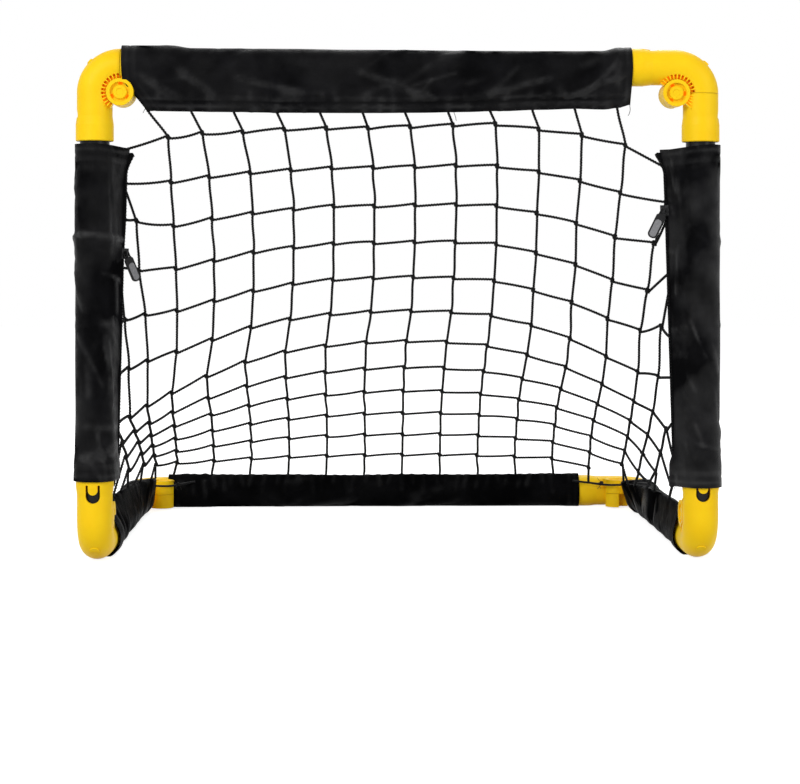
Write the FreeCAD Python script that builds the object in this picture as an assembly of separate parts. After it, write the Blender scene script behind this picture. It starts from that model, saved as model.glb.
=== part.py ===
"""Folding goal: six black tubes in fabric sleeves, six hinged yellow elbows and a knotted net.

The goal mouth faces -Y, +X is to the viewer's right and +Z is up. The origin lies on the
floor, in the middle of the footprint. All sizes are in millimetres.
"""

import FreeCAD
import Part

import math
import os

from FreeCAD import Placement, Rotation, Vector

# Overall sizes, over the fabric sleeves
overall_width = 550.0
overall_depth = 440.0
floor_cut_depth = 40.0

# Tubes
tube_diameter = 25.0
tube_wall = 0.8

# Elbow mouldings
elbow_diameter = 30.0
elbow_inner_diameter = 23.6
collar_diameter = 32.0
collar_start = 27.0
collar_taper = 7.0
collar_chamfer = 0.7
socket_depth = 41.0
tube_stop = 12.0
tube_end_gap = 0.3
socket_fit = 0.15
bend_radius = 22.5
seam_gap = 0.3
foot_flat = 0.5

# Hinge in the inner corner of each elbow
knuckle_diameter = 23.0
knuckle_length = 28.0
knuckle_clearance = 0.3
face_recess_diameter = 17.0
face_recess_depth = 3.0
window_count = 3
window_length = 3.4
window_width = 2.2
window_depth = 4.0
window_angle = 57.0
pin_diameter = 6.0
pin_fit = 0.06
pin_boss_diameter = 12.0
pin_boss_height = 2.2
pin_dimple_diameter = 6.6
pin_dimple_depth = 0.5
pin_head_diameter = 11.0
pin_head_height = 2.0
pin_end_inset = 0.4
pin_edge = 0.6

# Slots and ribs around the hinge
fan_slot_count = 12
fan_angle = 150.0
fan_base = 6.0
fan_top = 13.4
fan_slot_width = 2.1
fan_slot_depth = 4.5
rib_count = 5
rib_first_angle = 133.0
rib_step = 9.5
rib_thickness = 1.1
rib_reach = 5.2
rib_first_extra = 1.2
rib_base = 2.0
rib_top = 12.6

# Snap tongue that holds each tube in its socket
snap_start = 13.7
snap_end = 29.0
snap_width = 12.0
snap_arm = 2.0
snap_crescent = 7.0
nub_diameter = 4.0
nub_depth = 1.5
nub_hole_diameter = 5.0

# Release button on the outer side of each bend
button_width = 8.3
button_length = 5.5
button_proud = 0.7
button_clearance = 0.2
button_flange_length = 9.0
button_flange_width = 8.0
button_flange_height = 1.1
button_flange_drop = 1.2
button_arm_reach = 9.4
button_arm_width = 5.0
button_arm_thickness = 0.6
button_arm_rise = 0.35
button_edge_radius = 0.35
button_pad_root = 0.2
button_window_depth = 8.0

# Fabric sleeves
sleeve_radius = 15.4
sleeve_over_collar = 17.5
sleeve_clearance = 0.3
flap_thickness = 3.0
floor_clearance = 0.3
hinge_keepout = 18.4
collar_cover = 2.0
sleeve_taper = 14.0

# Crossbar sleeve, with its hem hanging under the bar
crossbar_sleeve_left = 0.8
crossbar_sleeve_right = 35.0
crossbar_hem_reach = 37.0
crossbar_hem_left = 18.0

# Post sleeves
post_sleeve_top_gap = 2.5
post_sleeve_bottom_left = 32.0
post_sleeve_bottom_right = 25.6
post_flap_bottom_reach = 24.0
post_flap_top_reach = 32.0
post_flap_left_angle = 40.0
post_flap_right_angle = 14.0
post_sleeve_fold = 1.1

# Side and rear sleeves
side_sleeve_front = 15.0
side_sleeve_rear = 30.0
side_ridge_reach = 28.5
side_ridge_angle = 45.0
rear_sleeve_left = 5.0
rear_sleeve_right = 38.0
rear_ridge_reach = 18.2

# Zip on each post sleeve
zip_tape_width = 10.0
zip_tape_thickness = 1.0
zip_coil_diameter = 3.0
zip_bottom_gap = 48.0
zip_top_gap = 4.0
zip_edge_margin = 5.5
slider_length = 9.0
slider_width = 7.6
slider_thickness = 5.0
slider_edge_radius = 0.8
slider_clearance = 0.3
slider_drop_right = 99.0
slider_drop_left = 136.0
bridge_height = 3.0
bridge_width = 1.3
bridge_length = 4.4
bridge_bar = 1.3
bridge_leg = 1.1
bridge_root = 0.5
pull_length = 26.0
pull_width = 8.6
pull_thickness = 1.6
pull_back = -0.5
pull_tilt = 28.0
pull_pin_diameter = 0.9
pull_ring_gap = 4.2
pull_ring_bar = 1.0
pull_ring_reach = 3.7
pull_eye_radius = 0.55
pull_collar_height = 1.3
pull_low_radius = 3.9
pull_high_radius = 2.2
pull_inset_margin = 1.4
pull_inset_length = 15.5
pull_inset_radius = 2.4
pull_inset_proud = 0.2

# Net
cord_diameter = 2.2
net_column_count = 12
net_side_inset = 21.5
net_top_left_inset = 22.0
net_top_right_inset = 48.0
net_corner_drop = 52.0
net_hem_gap = 2.2
net_first_row = 17.0
net_rows = (4, 4, 4)
net_fold_back = (0.302, 0.611)
net_fold_height = (0.557, 0.275)
net_bottom_inset = 14.0
net_bottom_rise = 19.5
side_net_gap = 0.6
side_net_front = 30.0
side_net_columns = (3, 3, 3)
side_net_row = 40.0
side_net_bottom_rise = 21.7
side_net_low_front = 38.0
side_net_corner = 12.0
smallest_gap_area = 14.0

# Border cords across the rear elbows
border_points_left = ((33.0, 7.6, 11.6), (21.0, 1.0, 10.3), (8.0, -16.5, 9.1), (-7.0, -28.7, 11.5))
border_points_right = ((-45.0, 7.6, 11.6), (-26.0, 2.0, 10.0), (-9.0, -17.0, 9.1), (7.0, -28.7, 11.5))
border_bend_share = 0.45

# Sizes that follow from the ones above
tube_radius = tube_diameter / 2
elbow_radius = elbow_diameter / 2
collar_radius = collar_diameter / 2
knuckle_radius = knuckle_diameter / 2
bend_outer = bend_radius + elbow_radius
fan_outer = bend_radius - math.sqrt(elbow_radius**2 - fan_top**2)
tube_x = overall_width / 2 - sleeve_over_collar
tube_y = overall_depth / 2 - sleeve_over_collar
base_z = collar_radius - foot_flat
crossbar_z = base_z + 2 * tube_y
pivot_x = tube_x - bend_radius
pivot_y = tube_y - bend_radius
front_pivot_z = base_z + bend_radius
top_pivot_z = crossbar_z - bend_radius
net_half_width = tube_x - net_side_inset
net_top_left = pivot_x - net_top_left_inset
net_top_right = pivot_x - net_top_right_inset
net_fold_y = [tube_y * (2 * share - 1) for share in net_fold_back]
net_fold_z = [base_z + (crossbar_z - base_z) * share for share in net_fold_height]
side_net_bottom = base_z + side_net_bottom_rise
beyond = overall_width

X = Vector(1, 0, 0)
Y = Vector(0, 1, 0)
Z = Vector(0, 0, 1)
ORIGIN = Vector(0, 0, 0)


def placed(shape, origin, x_axis, y_axis):
    """A copy of a shape built about the origin, moved so that its X and Y run along two directions."""
    z_axis = x_axis.cross(y_axis)
    matrix = FreeCAD.Matrix(
        x_axis.x, y_axis.x, z_axis.x, origin.x,
        x_axis.y, y_axis.y, z_axis.y, origin.y,
        x_axis.z, y_axis.z, z_axis.z, origin.z,
    )
    moved = shape.copy()
    moved.Placement = Placement(matrix).multiply(shape.Placement)
    return moved


def turned(profile, start=ORIGIN, axis=Z):
    """A solid of revolution, from (distance along the axis, radius) pairs."""
    points = [Vector(radius, 0, along) for along, radius in profile]
    ends = [Vector(0, 0, profile[-1][0]), Vector(0, 0, profile[0][0])]
    outline = [points[0]]
    for point in points[1:] + ends:
        if point.distanceToPoint(outline[-1]) > 1e-6:
            outline.append(point)
    if outline[-1].distanceToPoint(outline[0]) > 1e-6:
        outline.append(outline[0])
    solid = Part.Face(Part.makePolygon(outline)).revolve(ORIGIN, Z, 360)
    solid.Placement = Placement(start, Rotation(Z, axis))
    return solid


def rod(radius, start, end):
    """A round bar between two points."""
    along = end - start
    return Part.makeCylinder(radius, along.Length, start, along)


def block(x_range, y_range, z_range):
    """A box between two corners."""
    size = [high - low for low, high in (x_range, y_range, z_range)]
    return Part.makeBox(*size, Vector(x_range[0], y_range[0], z_range[0]))


def floor_block(top):
    """All the room below a height near the floor."""
    return block((-beyond, beyond), (-beyond, beyond), (-floor_cut_depth, top))


def joined(shapes):
    """One solid from several that overlap."""
    return shapes[0].fuse(shapes[1:]).removeSplitter()


def largest(shape):
    """The largest solid of a shape."""
    return max(shape.Solids, key=lambda solid: solid.Volume)


def carved(shape, cutters):
    """What is left of a shape after each cutter in turn."""
    for cutter in cutters:
        shape = shape.cut(cutter)
    return largest(shape)


def exported(name, shape):
    """Writes one piece to its own file."""
    if shape.ShapeType == "Compound" and len(shape.Solids) == 1:
        shape = shape.Solids[0]
    shape.exportStep(os.path.join("parts", name + ".step"))
    print(name, len(shape.Solids), "solid", round(shape.Volume / 1000, 2), "cm3", shape.isValid())


def polar(radius, degrees, height=0.0):
    """A point at an angle around the hinge axis."""
    angle = math.radians(degrees)
    return Vector(radius * math.cos(angle), radius * math.sin(angle), height)


# Elbow mouldings
# Each elbow is built about its hinge axis: the bend's tube runs along X at y = -bend_radius,
# the straight socket's tube runs along Y at x = -bend_radius, and Z is the hinge axis.


def socket_outside():
    """The outside of one socket, with its raised collar at the mouth."""
    return turned(
        (
            (0, elbow_radius),
            (collar_start - collar_taper, elbow_radius),
            (collar_start, collar_radius),
            (socket_depth - collar_chamfer, collar_radius),
            (socket_depth, collar_radius - collar_chamfer),
        ),
        Vector(0, -bend_radius, 0),
        X,
    )


def snap_nub():
    """The nub under the snap tongue that drops into the tube's hole."""
    centre_x = snap_start + snap_crescent + nub_diameter
    wall_inside = -bend_radius - tube_radius - socket_fit
    start = Vector(centre_x, wall_inside - 1, 0)
    return rod(nub_diameter / 2, start, start + Y * (1 + nub_depth))


def socket_inside():
    """The bore of one socket, down to the step that stops the tube, round the snap nub."""
    inner = elbow_inner_diameter / 2
    bore = tube_radius + socket_fit
    profile = ((0, inner), (tube_stop, inner), (tube_stop, bore), (socket_depth + 1, bore))
    return turned(profile, Vector(0, -bend_radius, 0), X).cut(snap_nub())


def bend_inside():
    """The bore of the bend's moulding: its socket, the quarter bend and the way out at the seam."""
    inner = elbow_inner_diameter / 2
    quarter = Part.makeTorus(bend_radius, inner, ORIGIN, Z, 0, 360, 90)
    quarter.rotate(ORIGIN, Z, 180)
    way_out = rod(inner, Vector(-bend_radius, 0, 0), Vector(-bend_radius, 1, 0))
    return joined([quarter, socket_inside(), way_out])


def snap_slot():
    """The U-shaped slot that frees a tongue in the socket's outer wall."""
    half = snap_width / 2
    tongue = half - snap_arm
    bottom = -bend_radius - collar_radius - 1
    height = collar_radius + 1 - tube_radius + 2
    end_centre = Vector(snap_start + half, bottom, 0)
    outline = Part.makeCylinder(half, height, end_centre, Y)
    outline = outline.fuse(block((snap_start + half, snap_end), (bottom, bottom + height), (-half, half)))
    tip = snap_start + snap_crescent + tongue
    kept = Part.makeCylinder(tongue, height, Vector(tip, bottom, 0), Y)
    kept = kept.fuse(block((tip, snap_end + 1), (bottom, bottom + height), (-tongue, tongue)))
    return outline.cut(kept)


def hinge_fan():
    """The slotted half-ring on the bend, beside the knob."""
    inner = knuckle_radius + knuckle_clearance
    outer = fan_outer
    height = fan_top - fan_base
    ring = Part.makeCylinder(outer, height, Vector(0, 0, fan_base), Z, fan_angle)
    ring = ring.cut(Part.makeCylinder(inner, height, Vector(0, 0, fan_base)))
    ring.rotate(ORIGIN, Z, 180)
    return ring


def fan_slots():
    """The radial slots of the fan, as one group of cutters."""
    inner = knuckle_radius - 0.2
    outer = fan_outer
    step = fan_angle / fan_slot_count
    cutters = []
    for number in range(fan_slot_count):
        half = fan_slot_width / 2
        cutter = block((inner, outer), (-half, half), (fan_top - fan_slot_depth, fan_top + 2))
        cutter.rotate(ORIGIN, Z, 180 + step * (number + 0.5))
        cutters.append(cutter)
    return Part.makeCompound(cutters)


def button_outline(clearance):
    """The D shape of the release button, arched towards the bend's own socket."""
    half_length = button_length / 2 + clearance
    half_width = button_width / 2 + clearance
    back = -half_length
    corner_a = Vector(back, -half_width, 0)
    corner_b = Vector(0, -half_width, 0)
    corner_c = Vector(0, half_width, 0)
    corner_d = Vector(back, half_width, 0)
    arch = Part.Arc(corner_b, Vector(half_length, 0, 0), corner_c).toShape()
    edges = [
        Part.makeLine(corner_a, corner_b),
        arch,
        Part.makeLine(corner_c, corner_d),
        Part.makeLine(corner_d, corner_a),
    ]
    return Part.Face(Part.Wire(edges))


def on_bend(shape):
    """Moves a shape from its own frame to the outer side of the bend: its Z points outward."""
    outward = polar(1, 225)
    towards_socket = polar(1, 315)
    across = outward.cross(towards_socket)
    return placed(shape, ORIGIN, towards_socket, across)


def bend_shell():
    """The larger moulding: socket, quarter bend, rear knuckle and slotted fan."""
    bend = Part.makeTorus(bend_radius, elbow_radius, ORIGIN, Z, 0, 360, 90)
    bend.rotate(ORIGIN, Z, 180)
    half = knuckle_length / 2
    knuckle = Part.makeCylinder(knuckle_radius, half - seam_gap / 2, Vector(0, 0, -half))
    ring_room = Part.makeCylinder(
        knuckle_radius + knuckle_clearance, half + 3, Vector(0, 0, -seam_gap / 2)
    )
    tubes = joined([bend, socket_outside()]).cut(ring_room)
    shell = joined([tubes, knuckle, hinge_fan()])
    window = button_outline(button_clearance).extrude(Z * (button_window_depth + elbow_radius))
    window.translate(Z * (bend_outer - button_window_depth))
    far = socket_depth + elbow_diameter
    beyond_seam = block((-far, -1), (-seam_gap / 2, far), (-far, far))
    pin_hole = Part.makeCylinder(pin_diameter / 2, half + 2, Vector(0, 0, -half - 1))
    head_room = Part.makeCylinder(
        pin_head_diameter / 2 + pin_fit, pin_head_height + pin_end_inset + 1, Vector(0, 0, -half - 1)
    )
    cutters = [beyond_seam, bend_inside(), on_bend(window)]
    cutters += [pin_hole, head_room, snap_slot(), fan_slots()]
    return carved(shell, cutters)


def mirrored(shape):
    """Swaps the two tube directions of an elbow."""
    return shape.mirror(ORIGIN, Vector(1, -1, 0))


def socket_shell():
    """The smaller moulding: straight socket, front knuckle with its recessed face, and ribs."""
    half = knuckle_length / 2
    ring = Part.makeCylinder(knuckle_radius, half - seam_gap / 2, Vector(0, 0, seam_gap / 2))
    ribs = []
    for number in range(rib_count):
        thick = rib_thickness / 2
        reach = rib_reach if number else rib_reach + rib_first_extra
        rib = block((knuckle_radius - 1.5, knuckle_radius + reach), (-thick, thick), (rib_base, rib_top))
        rib.rotate(ORIGIN, Z, rib_first_angle + rib_step * number)
        ribs.append(rib)
    knuckle_room = Part.makeCylinder(
        knuckle_radius + knuckle_clearance, half + 3 + seam_gap / 2, Vector(0, 0, -half - 3)
    )
    far = socket_depth + elbow_diameter
    beyond_seam = block((-far, far), (-far, seam_gap / 2), (-far, far))
    tube = carved(mirrored(socket_outside()), [knuckle_room, beyond_seam])
    shell = joined([tube, ring] + ribs)
    recess = Part.makeCylinder(
        face_recess_diameter / 2, face_recess_depth + 1, Vector(0, 0, half - face_recess_depth)
    )
    windows = []
    window_middle = (face_recess_diameter + pin_boss_diameter) / 4
    for number in range(window_count):
        window = block(
            (window_middle - window_width / 2, window_middle + window_width / 2),
            (-window_length / 2, window_length / 2),
            (half - face_recess_depth - window_depth, half),
        )
        window.rotate(ORIGIN, Z, window_angle + 360 / window_count * number)
        windows.append(window)
    pin_hole = Part.makeCylinder(pin_diameter / 2, half + 2, Vector(0, 0, -1))
    cutters = [mirrored(socket_inside()), recess, pin_hole, mirrored(snap_slot())] + windows
    return carved(shell, cutters)


def hinge_pin():
    """The hinge pin, with its dimpled boss in the knob's face and a flat head at the back."""
    half = knuckle_length / 2
    floor = half - face_recess_depth
    radius = pin_diameter / 2 - pin_fit
    boss = pin_boss_diameter / 2
    back = -half + pin_end_inset
    pin = turned(
        (
            (back, pin_head_diameter / 2 - 0.5),
            (back + 0.5, pin_head_diameter / 2 - pin_fit),
            (back + pin_head_height - pin_fit, pin_head_diameter / 2 - pin_fit),
            (back + pin_head_height - pin_fit, radius),
            (floor + pin_fit, radius),
            (floor + pin_fit, boss),
            (floor + pin_boss_height - pin_edge, boss),
            (floor + pin_boss_height, boss - pin_edge),
        )
    )
    dimple = turned(
        (
            (floor + pin_boss_height - pin_dimple_depth, pin_dimple_diameter / 2 - 0.4),
            (floor + pin_boss_height + 0.5, pin_dimple_diameter / 2),
        )
    )
    return pin.cut(dimple)


def release_button():
    """The sprung release button, with the flange and arms that hold it in the bend's wall."""
    top = bend_outer + button_proud
    flange_top = bend_outer - (elbow_diameter - elbow_inner_diameter) / 2 - button_flange_drop
    flange_bottom = flange_top - button_flange_height
    pad = button_outline(0).extrude(Z * (top - flange_top + button_pad_root))
    pad.translate(Z * (flange_top - button_pad_root))
    top_edges = [edge for edge in pad.Edges if edge.BoundBox.ZMin > top - 0.01]
    pad = pad.makeFillet(button_edge_radius, top_edges)
    flange = block(
        (-button_flange_length / 2, button_flange_length / 2),
        (-button_flange_width / 2, button_flange_width / 2),
        (flange_bottom, flange_top),
    )
    reach = button_arm_reach
    thickness = Z * button_arm_thickness
    middle = Vector(0, 0, flange_bottom)
    left_end = Vector(-reach, 0, flange_bottom + button_arm_rise)
    right_end = Vector(reach, 0, flange_bottom + button_arm_rise)
    upper = Part.Arc(left_end, middle, right_end).toShape()
    lower = Part.Arc(left_end - thickness, middle - thickness, right_end - thickness).toShape()
    left_side = Part.makeLine(left_end, left_end - thickness)
    right_side = Part.makeLine(right_end, right_end - thickness)
    arms = Part.Face(Part.Wire(Part.__sortEdges__([upper, right_side, lower, left_side])))
    arms = arms.extrude(Y * button_arm_width)
    arms.translate(Y * (-button_arm_width / 2))
    return on_bend(joined([flange, pad, arms]))


# Corners: pivot point, direction of the bend's tube, direction of the straight socket's tube
corners = {
    "top_left": (Vector(-pivot_x, -tube_y, top_pivot_z), -Z, X),
    "top_right": (Vector(pivot_x, -tube_y, top_pivot_z), -X, -Z),
    "front_left": (Vector(-tube_x, -pivot_y, front_pivot_z), Z, Y),
    "front_right": (Vector(tube_x, -pivot_y, front_pivot_z), Z, Y),
    "rear_left": (Vector(-pivot_x, pivot_y, base_z), -Y, X),
    "rear_right": (Vector(pivot_x, pivot_y, base_z), -X, -Y),
}


def make_elbows():
    """The two shells, the pin and the button of all six elbows."""
    below_floor = floor_block(0)
    shapes = {
        "elbow_bend": bend_shell(),
        "elbow_socket": socket_shell(),
        "hinge_pin": hinge_pin(),
        "release_button": release_button(),
    }
    for corner, (pivot, bend_direction, socket_direction) in corners.items():
        for name, shape in shapes.items():
            piece = placed(shape, pivot, bend_direction, socket_direction)
            if piece.BoundBox.ZMin < 0:
                piece = piece.cut(below_floor)
            exported(name + "_" + corner, piece)


# Tubes


def frame_tube(start_pivot, end_pivot, offset, snap_sides):
    """One frame tube between two pivots, with the two holes for the snap nubs."""
    along = (end_pivot - start_pivot).normalize()
    inset = tube_stop + tube_end_gap
    start = start_pivot + offset + along * inset
    end = end_pivot + offset - along * inset
    tube = rod(tube_radius, start, end).cut(rod(tube_radius - tube_wall, start - along, end + along))
    reach = snap_start + snap_crescent + nub_diameter
    holes = []
    for pivot, sign, outward in ((start_pivot, 1, snap_sides[0]), (end_pivot, -1, snap_sides[1])):
        centre = pivot + offset + along * (sign * reach)
        holes.append(rod(nub_hole_diameter / 2, centre + outward * 5, centre + outward * (tube_radius + 2)))
    return tube.cut(holes)


def make_tubes():
    """The six frame tubes."""
    pivot = {name: place[0] for name, place in corners.items()}
    crossbar = frame_tube(pivot["top_left"], pivot["top_right"], Z * bend_radius, (Z, Z))
    exported("crossbar_tube", crossbar)
    rear = frame_tube(pivot["rear_left"], pivot["rear_right"], Y * bend_radius, (Y, Y))
    exported("rear_tube", rear)
    for side, sign in (("left", -1), ("right", 1)):
        outward = X * sign
        top = Vector(sign * tube_x, -tube_y, top_pivot_z)
        bottom = Vector(sign * tube_x, -tube_y, front_pivot_z)
        exported("post_tube_" + side, frame_tube(bottom, top, ORIGIN, (-Y, outward)))
        front = Vector(sign * tube_x, -pivot_y, base_z)
        back = Vector(sign * tube_x, pivot_y, base_z)
        exported("side_tube_" + side, frame_tube(front, back, ORIGIN, (-Z, outward)))


# Fabric sleeves
# A sleeve is lofted through sections across its tube: most of a circle round the tube, drawn
# out to a flat flap on one side. In a section, X points along the flap.


def sleeve_section(radius, reach, thickness):
    """A round sleeve section with a flap that reaches out to one side."""
    half = min(thickness / 2, radius * 0.6)
    reach = max(reach, radius + 0.4)
    tip_distance = math.hypot(reach, half)
    turn = math.degrees(math.acos(radius / tip_distance)) + math.degrees(math.atan2(half, reach))
    arc_step = (360 - 2 * turn) / 3
    stops = [polar(radius, turn + arc_step * number) for number in range(4)]
    middles = [polar(radius, turn + arc_step * (number + 0.5)) for number in range(3)]
    upper_tip = Vector(reach, half, 0)
    lower_tip = Vector(reach, -half, 0)
    edges = [Part.makeLine(upper_tip, stops[0])]
    for number in range(3):
        edges.append(Part.Arc(stops[number], middles[number], stops[number + 1]).toShape())
    edges.append(Part.makeLine(stops[3], lower_tip))
    edges.append(Part.makeLine(lower_tip, upper_tip))
    return Part.Wire(edges)


def lofted_sleeve(start, along, stations):
    """A sleeve along a tube. Each station is (distance, radius, flap reach, flap direction)."""
    sections = []
    for distance, radius, reach, flap_direction in stations:
        section = sleeve_section(radius, reach, flap_thickness)
        across = along.cross(flap_direction)
        sections.append(placed(section, start + along * distance, flap_direction, across))
    return Part.makeLoft(sections, True, True)


def tube_room(start, end):
    """The room that a sleeve leaves for its tube."""
    return rod(tube_radius + sleeve_clearance, start, end)


def elbow_room(pivot_plane, along):
    """The room that a sleeve leaves for one socket and its collar."""
    profile = (
        (0, elbow_radius + sleeve_clearance),
        (collar_start - collar_taper, elbow_radius + sleeve_clearance),
        (collar_start - sleeve_clearance, collar_radius + sleeve_clearance),
        (socket_depth + sleeve_clearance, collar_radius + sleeve_clearance),
    )
    return turned(profile, pivot_plane, along)


def leaning(direction, towards, degrees):
    """A unit direction turned from one towards another."""
    angle = math.radians(degrees)
    return direction * math.cos(angle) + towards * math.sin(angle)


def make_crossbar_sleeve():
    """The crossbar's sleeve: round the bar on top, its hem hanging below with shallow folds."""
    left = Vector(-pivot_x, -tube_y, crossbar_z)
    right = Vector(pivot_x, -tube_y, crossbar_z)
    end = 2 * pivot_x - crossbar_sleeve_right
    far_collar = 2 * pivot_x - socket_depth - collar_cover
    hem = crossbar_hem_reach
    folds = (
        (socket_depth + collar_cover, sleeve_over_collar, hem, -1),
        (socket_depth + collar_cover + sleeve_taper, sleeve_radius, hem + 0.4, -4),
        (end * 0.2, sleeve_radius, hem, 3),
        (end * 0.33, sleeve_radius, hem + 0.6, -3),
        (end * 0.47, sleeve_radius, hem - 0.3, 2),
        (end * 0.61, sleeve_radius, hem + 0.3, -3),
        (end * 0.76, sleeve_radius, hem, 3),
        (far_collar - sleeve_taper, sleeve_radius, hem - 0.6, -4),
        (far_collar, sleeve_over_collar, hem - 1.2, 5),
        (end, sleeve_over_collar, hem - 2.2, 6),
    )
    stations = [
        (crossbar_sleeve_left, sleeve_over_collar, sleeve_over_collar, -Z),
        (crossbar_hem_left, sleeve_over_collar, hem, -Z),
    ]
    stations += [(along, radius, reach, leaning(-Z, Y, lean)) for along, radius, reach, lean in folds]
    sleeve = lofted_sleeve(left, X, stations)
    knob = corners["top_left"][0]
    room = [
        tube_room(left, right),
        elbow_room(left, X),
        elbow_room(right, -X),
        rod(hinge_keepout, knob - Y * knuckle_length, knob + Y * knuckle_length),
    ]
    exported("crossbar_sleeve", carved(sleeve, room))


def post_flap_reach(height):
    """How far a post sleeve's zipped edge stands from the post's axis at a height."""
    low = front_pivot_z + zip_bottom_gap
    high = top_pivot_z - socket_depth - zip_top_gap
    share = (height - low) / (high - low)
    return post_flap_bottom_reach + share * (post_flap_top_reach - post_flap_bottom_reach)


def post_flap_direction(sign, lean):
    """The way a post sleeve's zipped flap points from the post's axis."""
    return leaning(X * -sign, Y, lean)


def make_post_sleeve(side, sign, lean, bottom):
    """One post's sleeve, with the zipped flap on its inner side."""
    foot = Vector(sign * tube_x, -tube_y, front_pivot_z)
    head = Vector(sign * tube_x, -tube_y, top_pivot_z)
    flap = post_flap_direction(sign, lean)
    top = top_pivot_z - front_pivot_z - socket_depth - post_sleeve_top_gap
    plan = (
        (bottom, sleeve_over_collar),
        (socket_depth + collar_cover, sleeve_over_collar),
        (socket_depth + collar_cover + sleeve_taper, sleeve_radius),
        (top * 0.38, sleeve_radius),
        (top * 0.56, sleeve_radius - 0.3),
        (top * 0.7, sleeve_radius),
        (top * 0.74, sleeve_radius + post_sleeve_fold),
        (top * 0.78, sleeve_radius),
        (top * 0.9, sleeve_radius + 0.3),
        (top, sleeve_radius + 0.8),
    )
    stations = []
    for along, radius in plan:
        reach = post_flap_reach(front_pivot_z + along) - zip_edge_margin
        stations.append((along, radius, reach, flap))
    sleeve = lofted_sleeve(foot, Z, stations)
    line = zip_line(sign, flap)
    room = [tube_room(foot, head), elbow_room(foot, Z), in_zip(line, zip_tape(line), 0)]
    exported("post_sleeve_" + side, carved(sleeve, room))


def make_side_sleeve(side, sign):
    """One side bar's sleeve: it lies on the floor, with a ridge on its inner side for the net."""
    front = Vector(sign * tube_x, -pivot_y, base_z)
    back = Vector(sign * tube_x, pivot_y, base_z)
    ridge = leaning(X * -sign, Z, side_ridge_angle)
    end = 2 * pivot_y - side_sleeve_rear
    far_collar = 2 * pivot_y - socket_depth - collar_cover
    plan = (
        (side_sleeve_front, sleeve_over_collar, side_ridge_reach - 2),
        (socket_depth + collar_cover, sleeve_over_collar, side_ridge_reach),
        (socket_depth + collar_cover + sleeve_taper, sleeve_radius, side_ridge_reach),
        (end * 0.38, sleeve_radius, side_ridge_reach - 0.6),
        (end * 0.52, sleeve_radius, side_ridge_reach + 0.3),
        (end * 0.68, sleeve_radius, side_ridge_reach - 0.5),
        (far_collar - sleeve_taper, sleeve_radius, side_ridge_reach),
        (far_collar, sleeve_over_collar, side_ridge_reach),
        (end, sleeve_over_collar, side_ridge_reach - 1),
    )
    sleeve = lofted_sleeve(front, Y, [(along, radius, reach, ridge) for along, radius, reach in plan])
    knob = Vector(sign * tube_x, -pivot_y, front_pivot_z)
    room = [
        tube_room(front, back),
        elbow_room(front, Y),
        elbow_room(back, -Y),
        rod(hinge_keepout, knob - X * knuckle_length, knob + X * knuckle_length),
        floor_block(floor_clearance),
    ]
    exported("side_sleeve_" + side, carved(sleeve, room))


def make_rear_sleeve():
    """The rear bar's sleeve, with a low ridge on top where the net is sewn in."""
    left = Vector(-pivot_x, tube_y, base_z)
    right = Vector(pivot_x, tube_y, base_z)
    end = 2 * pivot_x - rear_sleeve_right
    far_collar = 2 * pivot_x - socket_depth - collar_cover
    ridge = leaning(Z, -Y, 20)
    plan = (
        (rear_sleeve_left, sleeve_over_collar - 0.6, rear_ridge_reach),
        (collar_start, sleeve_over_collar, rear_ridge_reach),
        (socket_depth + collar_cover, sleeve_over_collar, rear_ridge_reach),
        (socket_depth + collar_cover + sleeve_taper, sleeve_radius, rear_ridge_reach - 0.3),
        (end * 0.3, sleeve_radius - 0.2, rear_ridge_reach),
        (end * 0.45, sleeve_radius, rear_ridge_reach - 0.8),
        (end * 0.58, sleeve_radius - 0.2, rear_ridge_reach),
        (end * 0.72, sleeve_radius, rear_ridge_reach - 0.6),
        (far_collar - sleeve_taper, sleeve_radius, rear_ridge_reach),
        (far_collar, sleeve_over_collar, rear_ridge_reach),
        (end, sleeve_over_collar, rear_ridge_reach),
    )
    sleeve = lofted_sleeve(left, X, [(along, radius, reach, ridge) for along, radius, reach in plan])
    knob = corners["rear_left"][0]
    room = [
        tube_room(left, right),
        elbow_room(left, X),
        elbow_room(right, -X),
        rod(hinge_keepout, knob - Z * knuckle_length, knob + Z * knuckle_length),
        floor_block(floor_clearance),
    ]
    exported("rear_sleeve", carved(sleeve, room))


# Zips
# In a zip's own frame X runs from the post towards the coil, Z up the coil and Y across the
# flap. The coil leans with the flap's edge.


def zip_line(sign, flap):
    """One post's zip: its bottom end, the directions towards and up the coil, and its length."""
    low = front_pivot_z + zip_bottom_gap
    high = top_pivot_z - socket_depth - zip_top_gap
    axis = Vector(sign * tube_x, -tube_y, 0)
    start = axis + flap * post_flap_reach(low) + Z * low
    end = axis + flap * post_flap_reach(high) + Z * high
    up = (end - start).normalize()
    inward = (flap - up * flap.dot(up)).normalize()
    return start, inward, up, start.distanceToPoint(end)


def in_zip(line, shape, distance):
    """A shape from the zip's own frame, at a distance up the coil."""
    start, inward, up, length = line
    return placed(shape, start + up * distance, inward, up.cross(inward))


def zip_tape(line):
    """The tape that is sewn into the flap, with the coil along its edge."""
    length = line[3]
    half_tape = zip_tape_thickness / 2
    coil_radius = zip_coil_diameter / 2
    tape = block((-zip_tape_width, 0), (-half_tape, half_tape), (0, length))
    return joined([Part.makeCylinder(coil_radius, length), tape])


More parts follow.
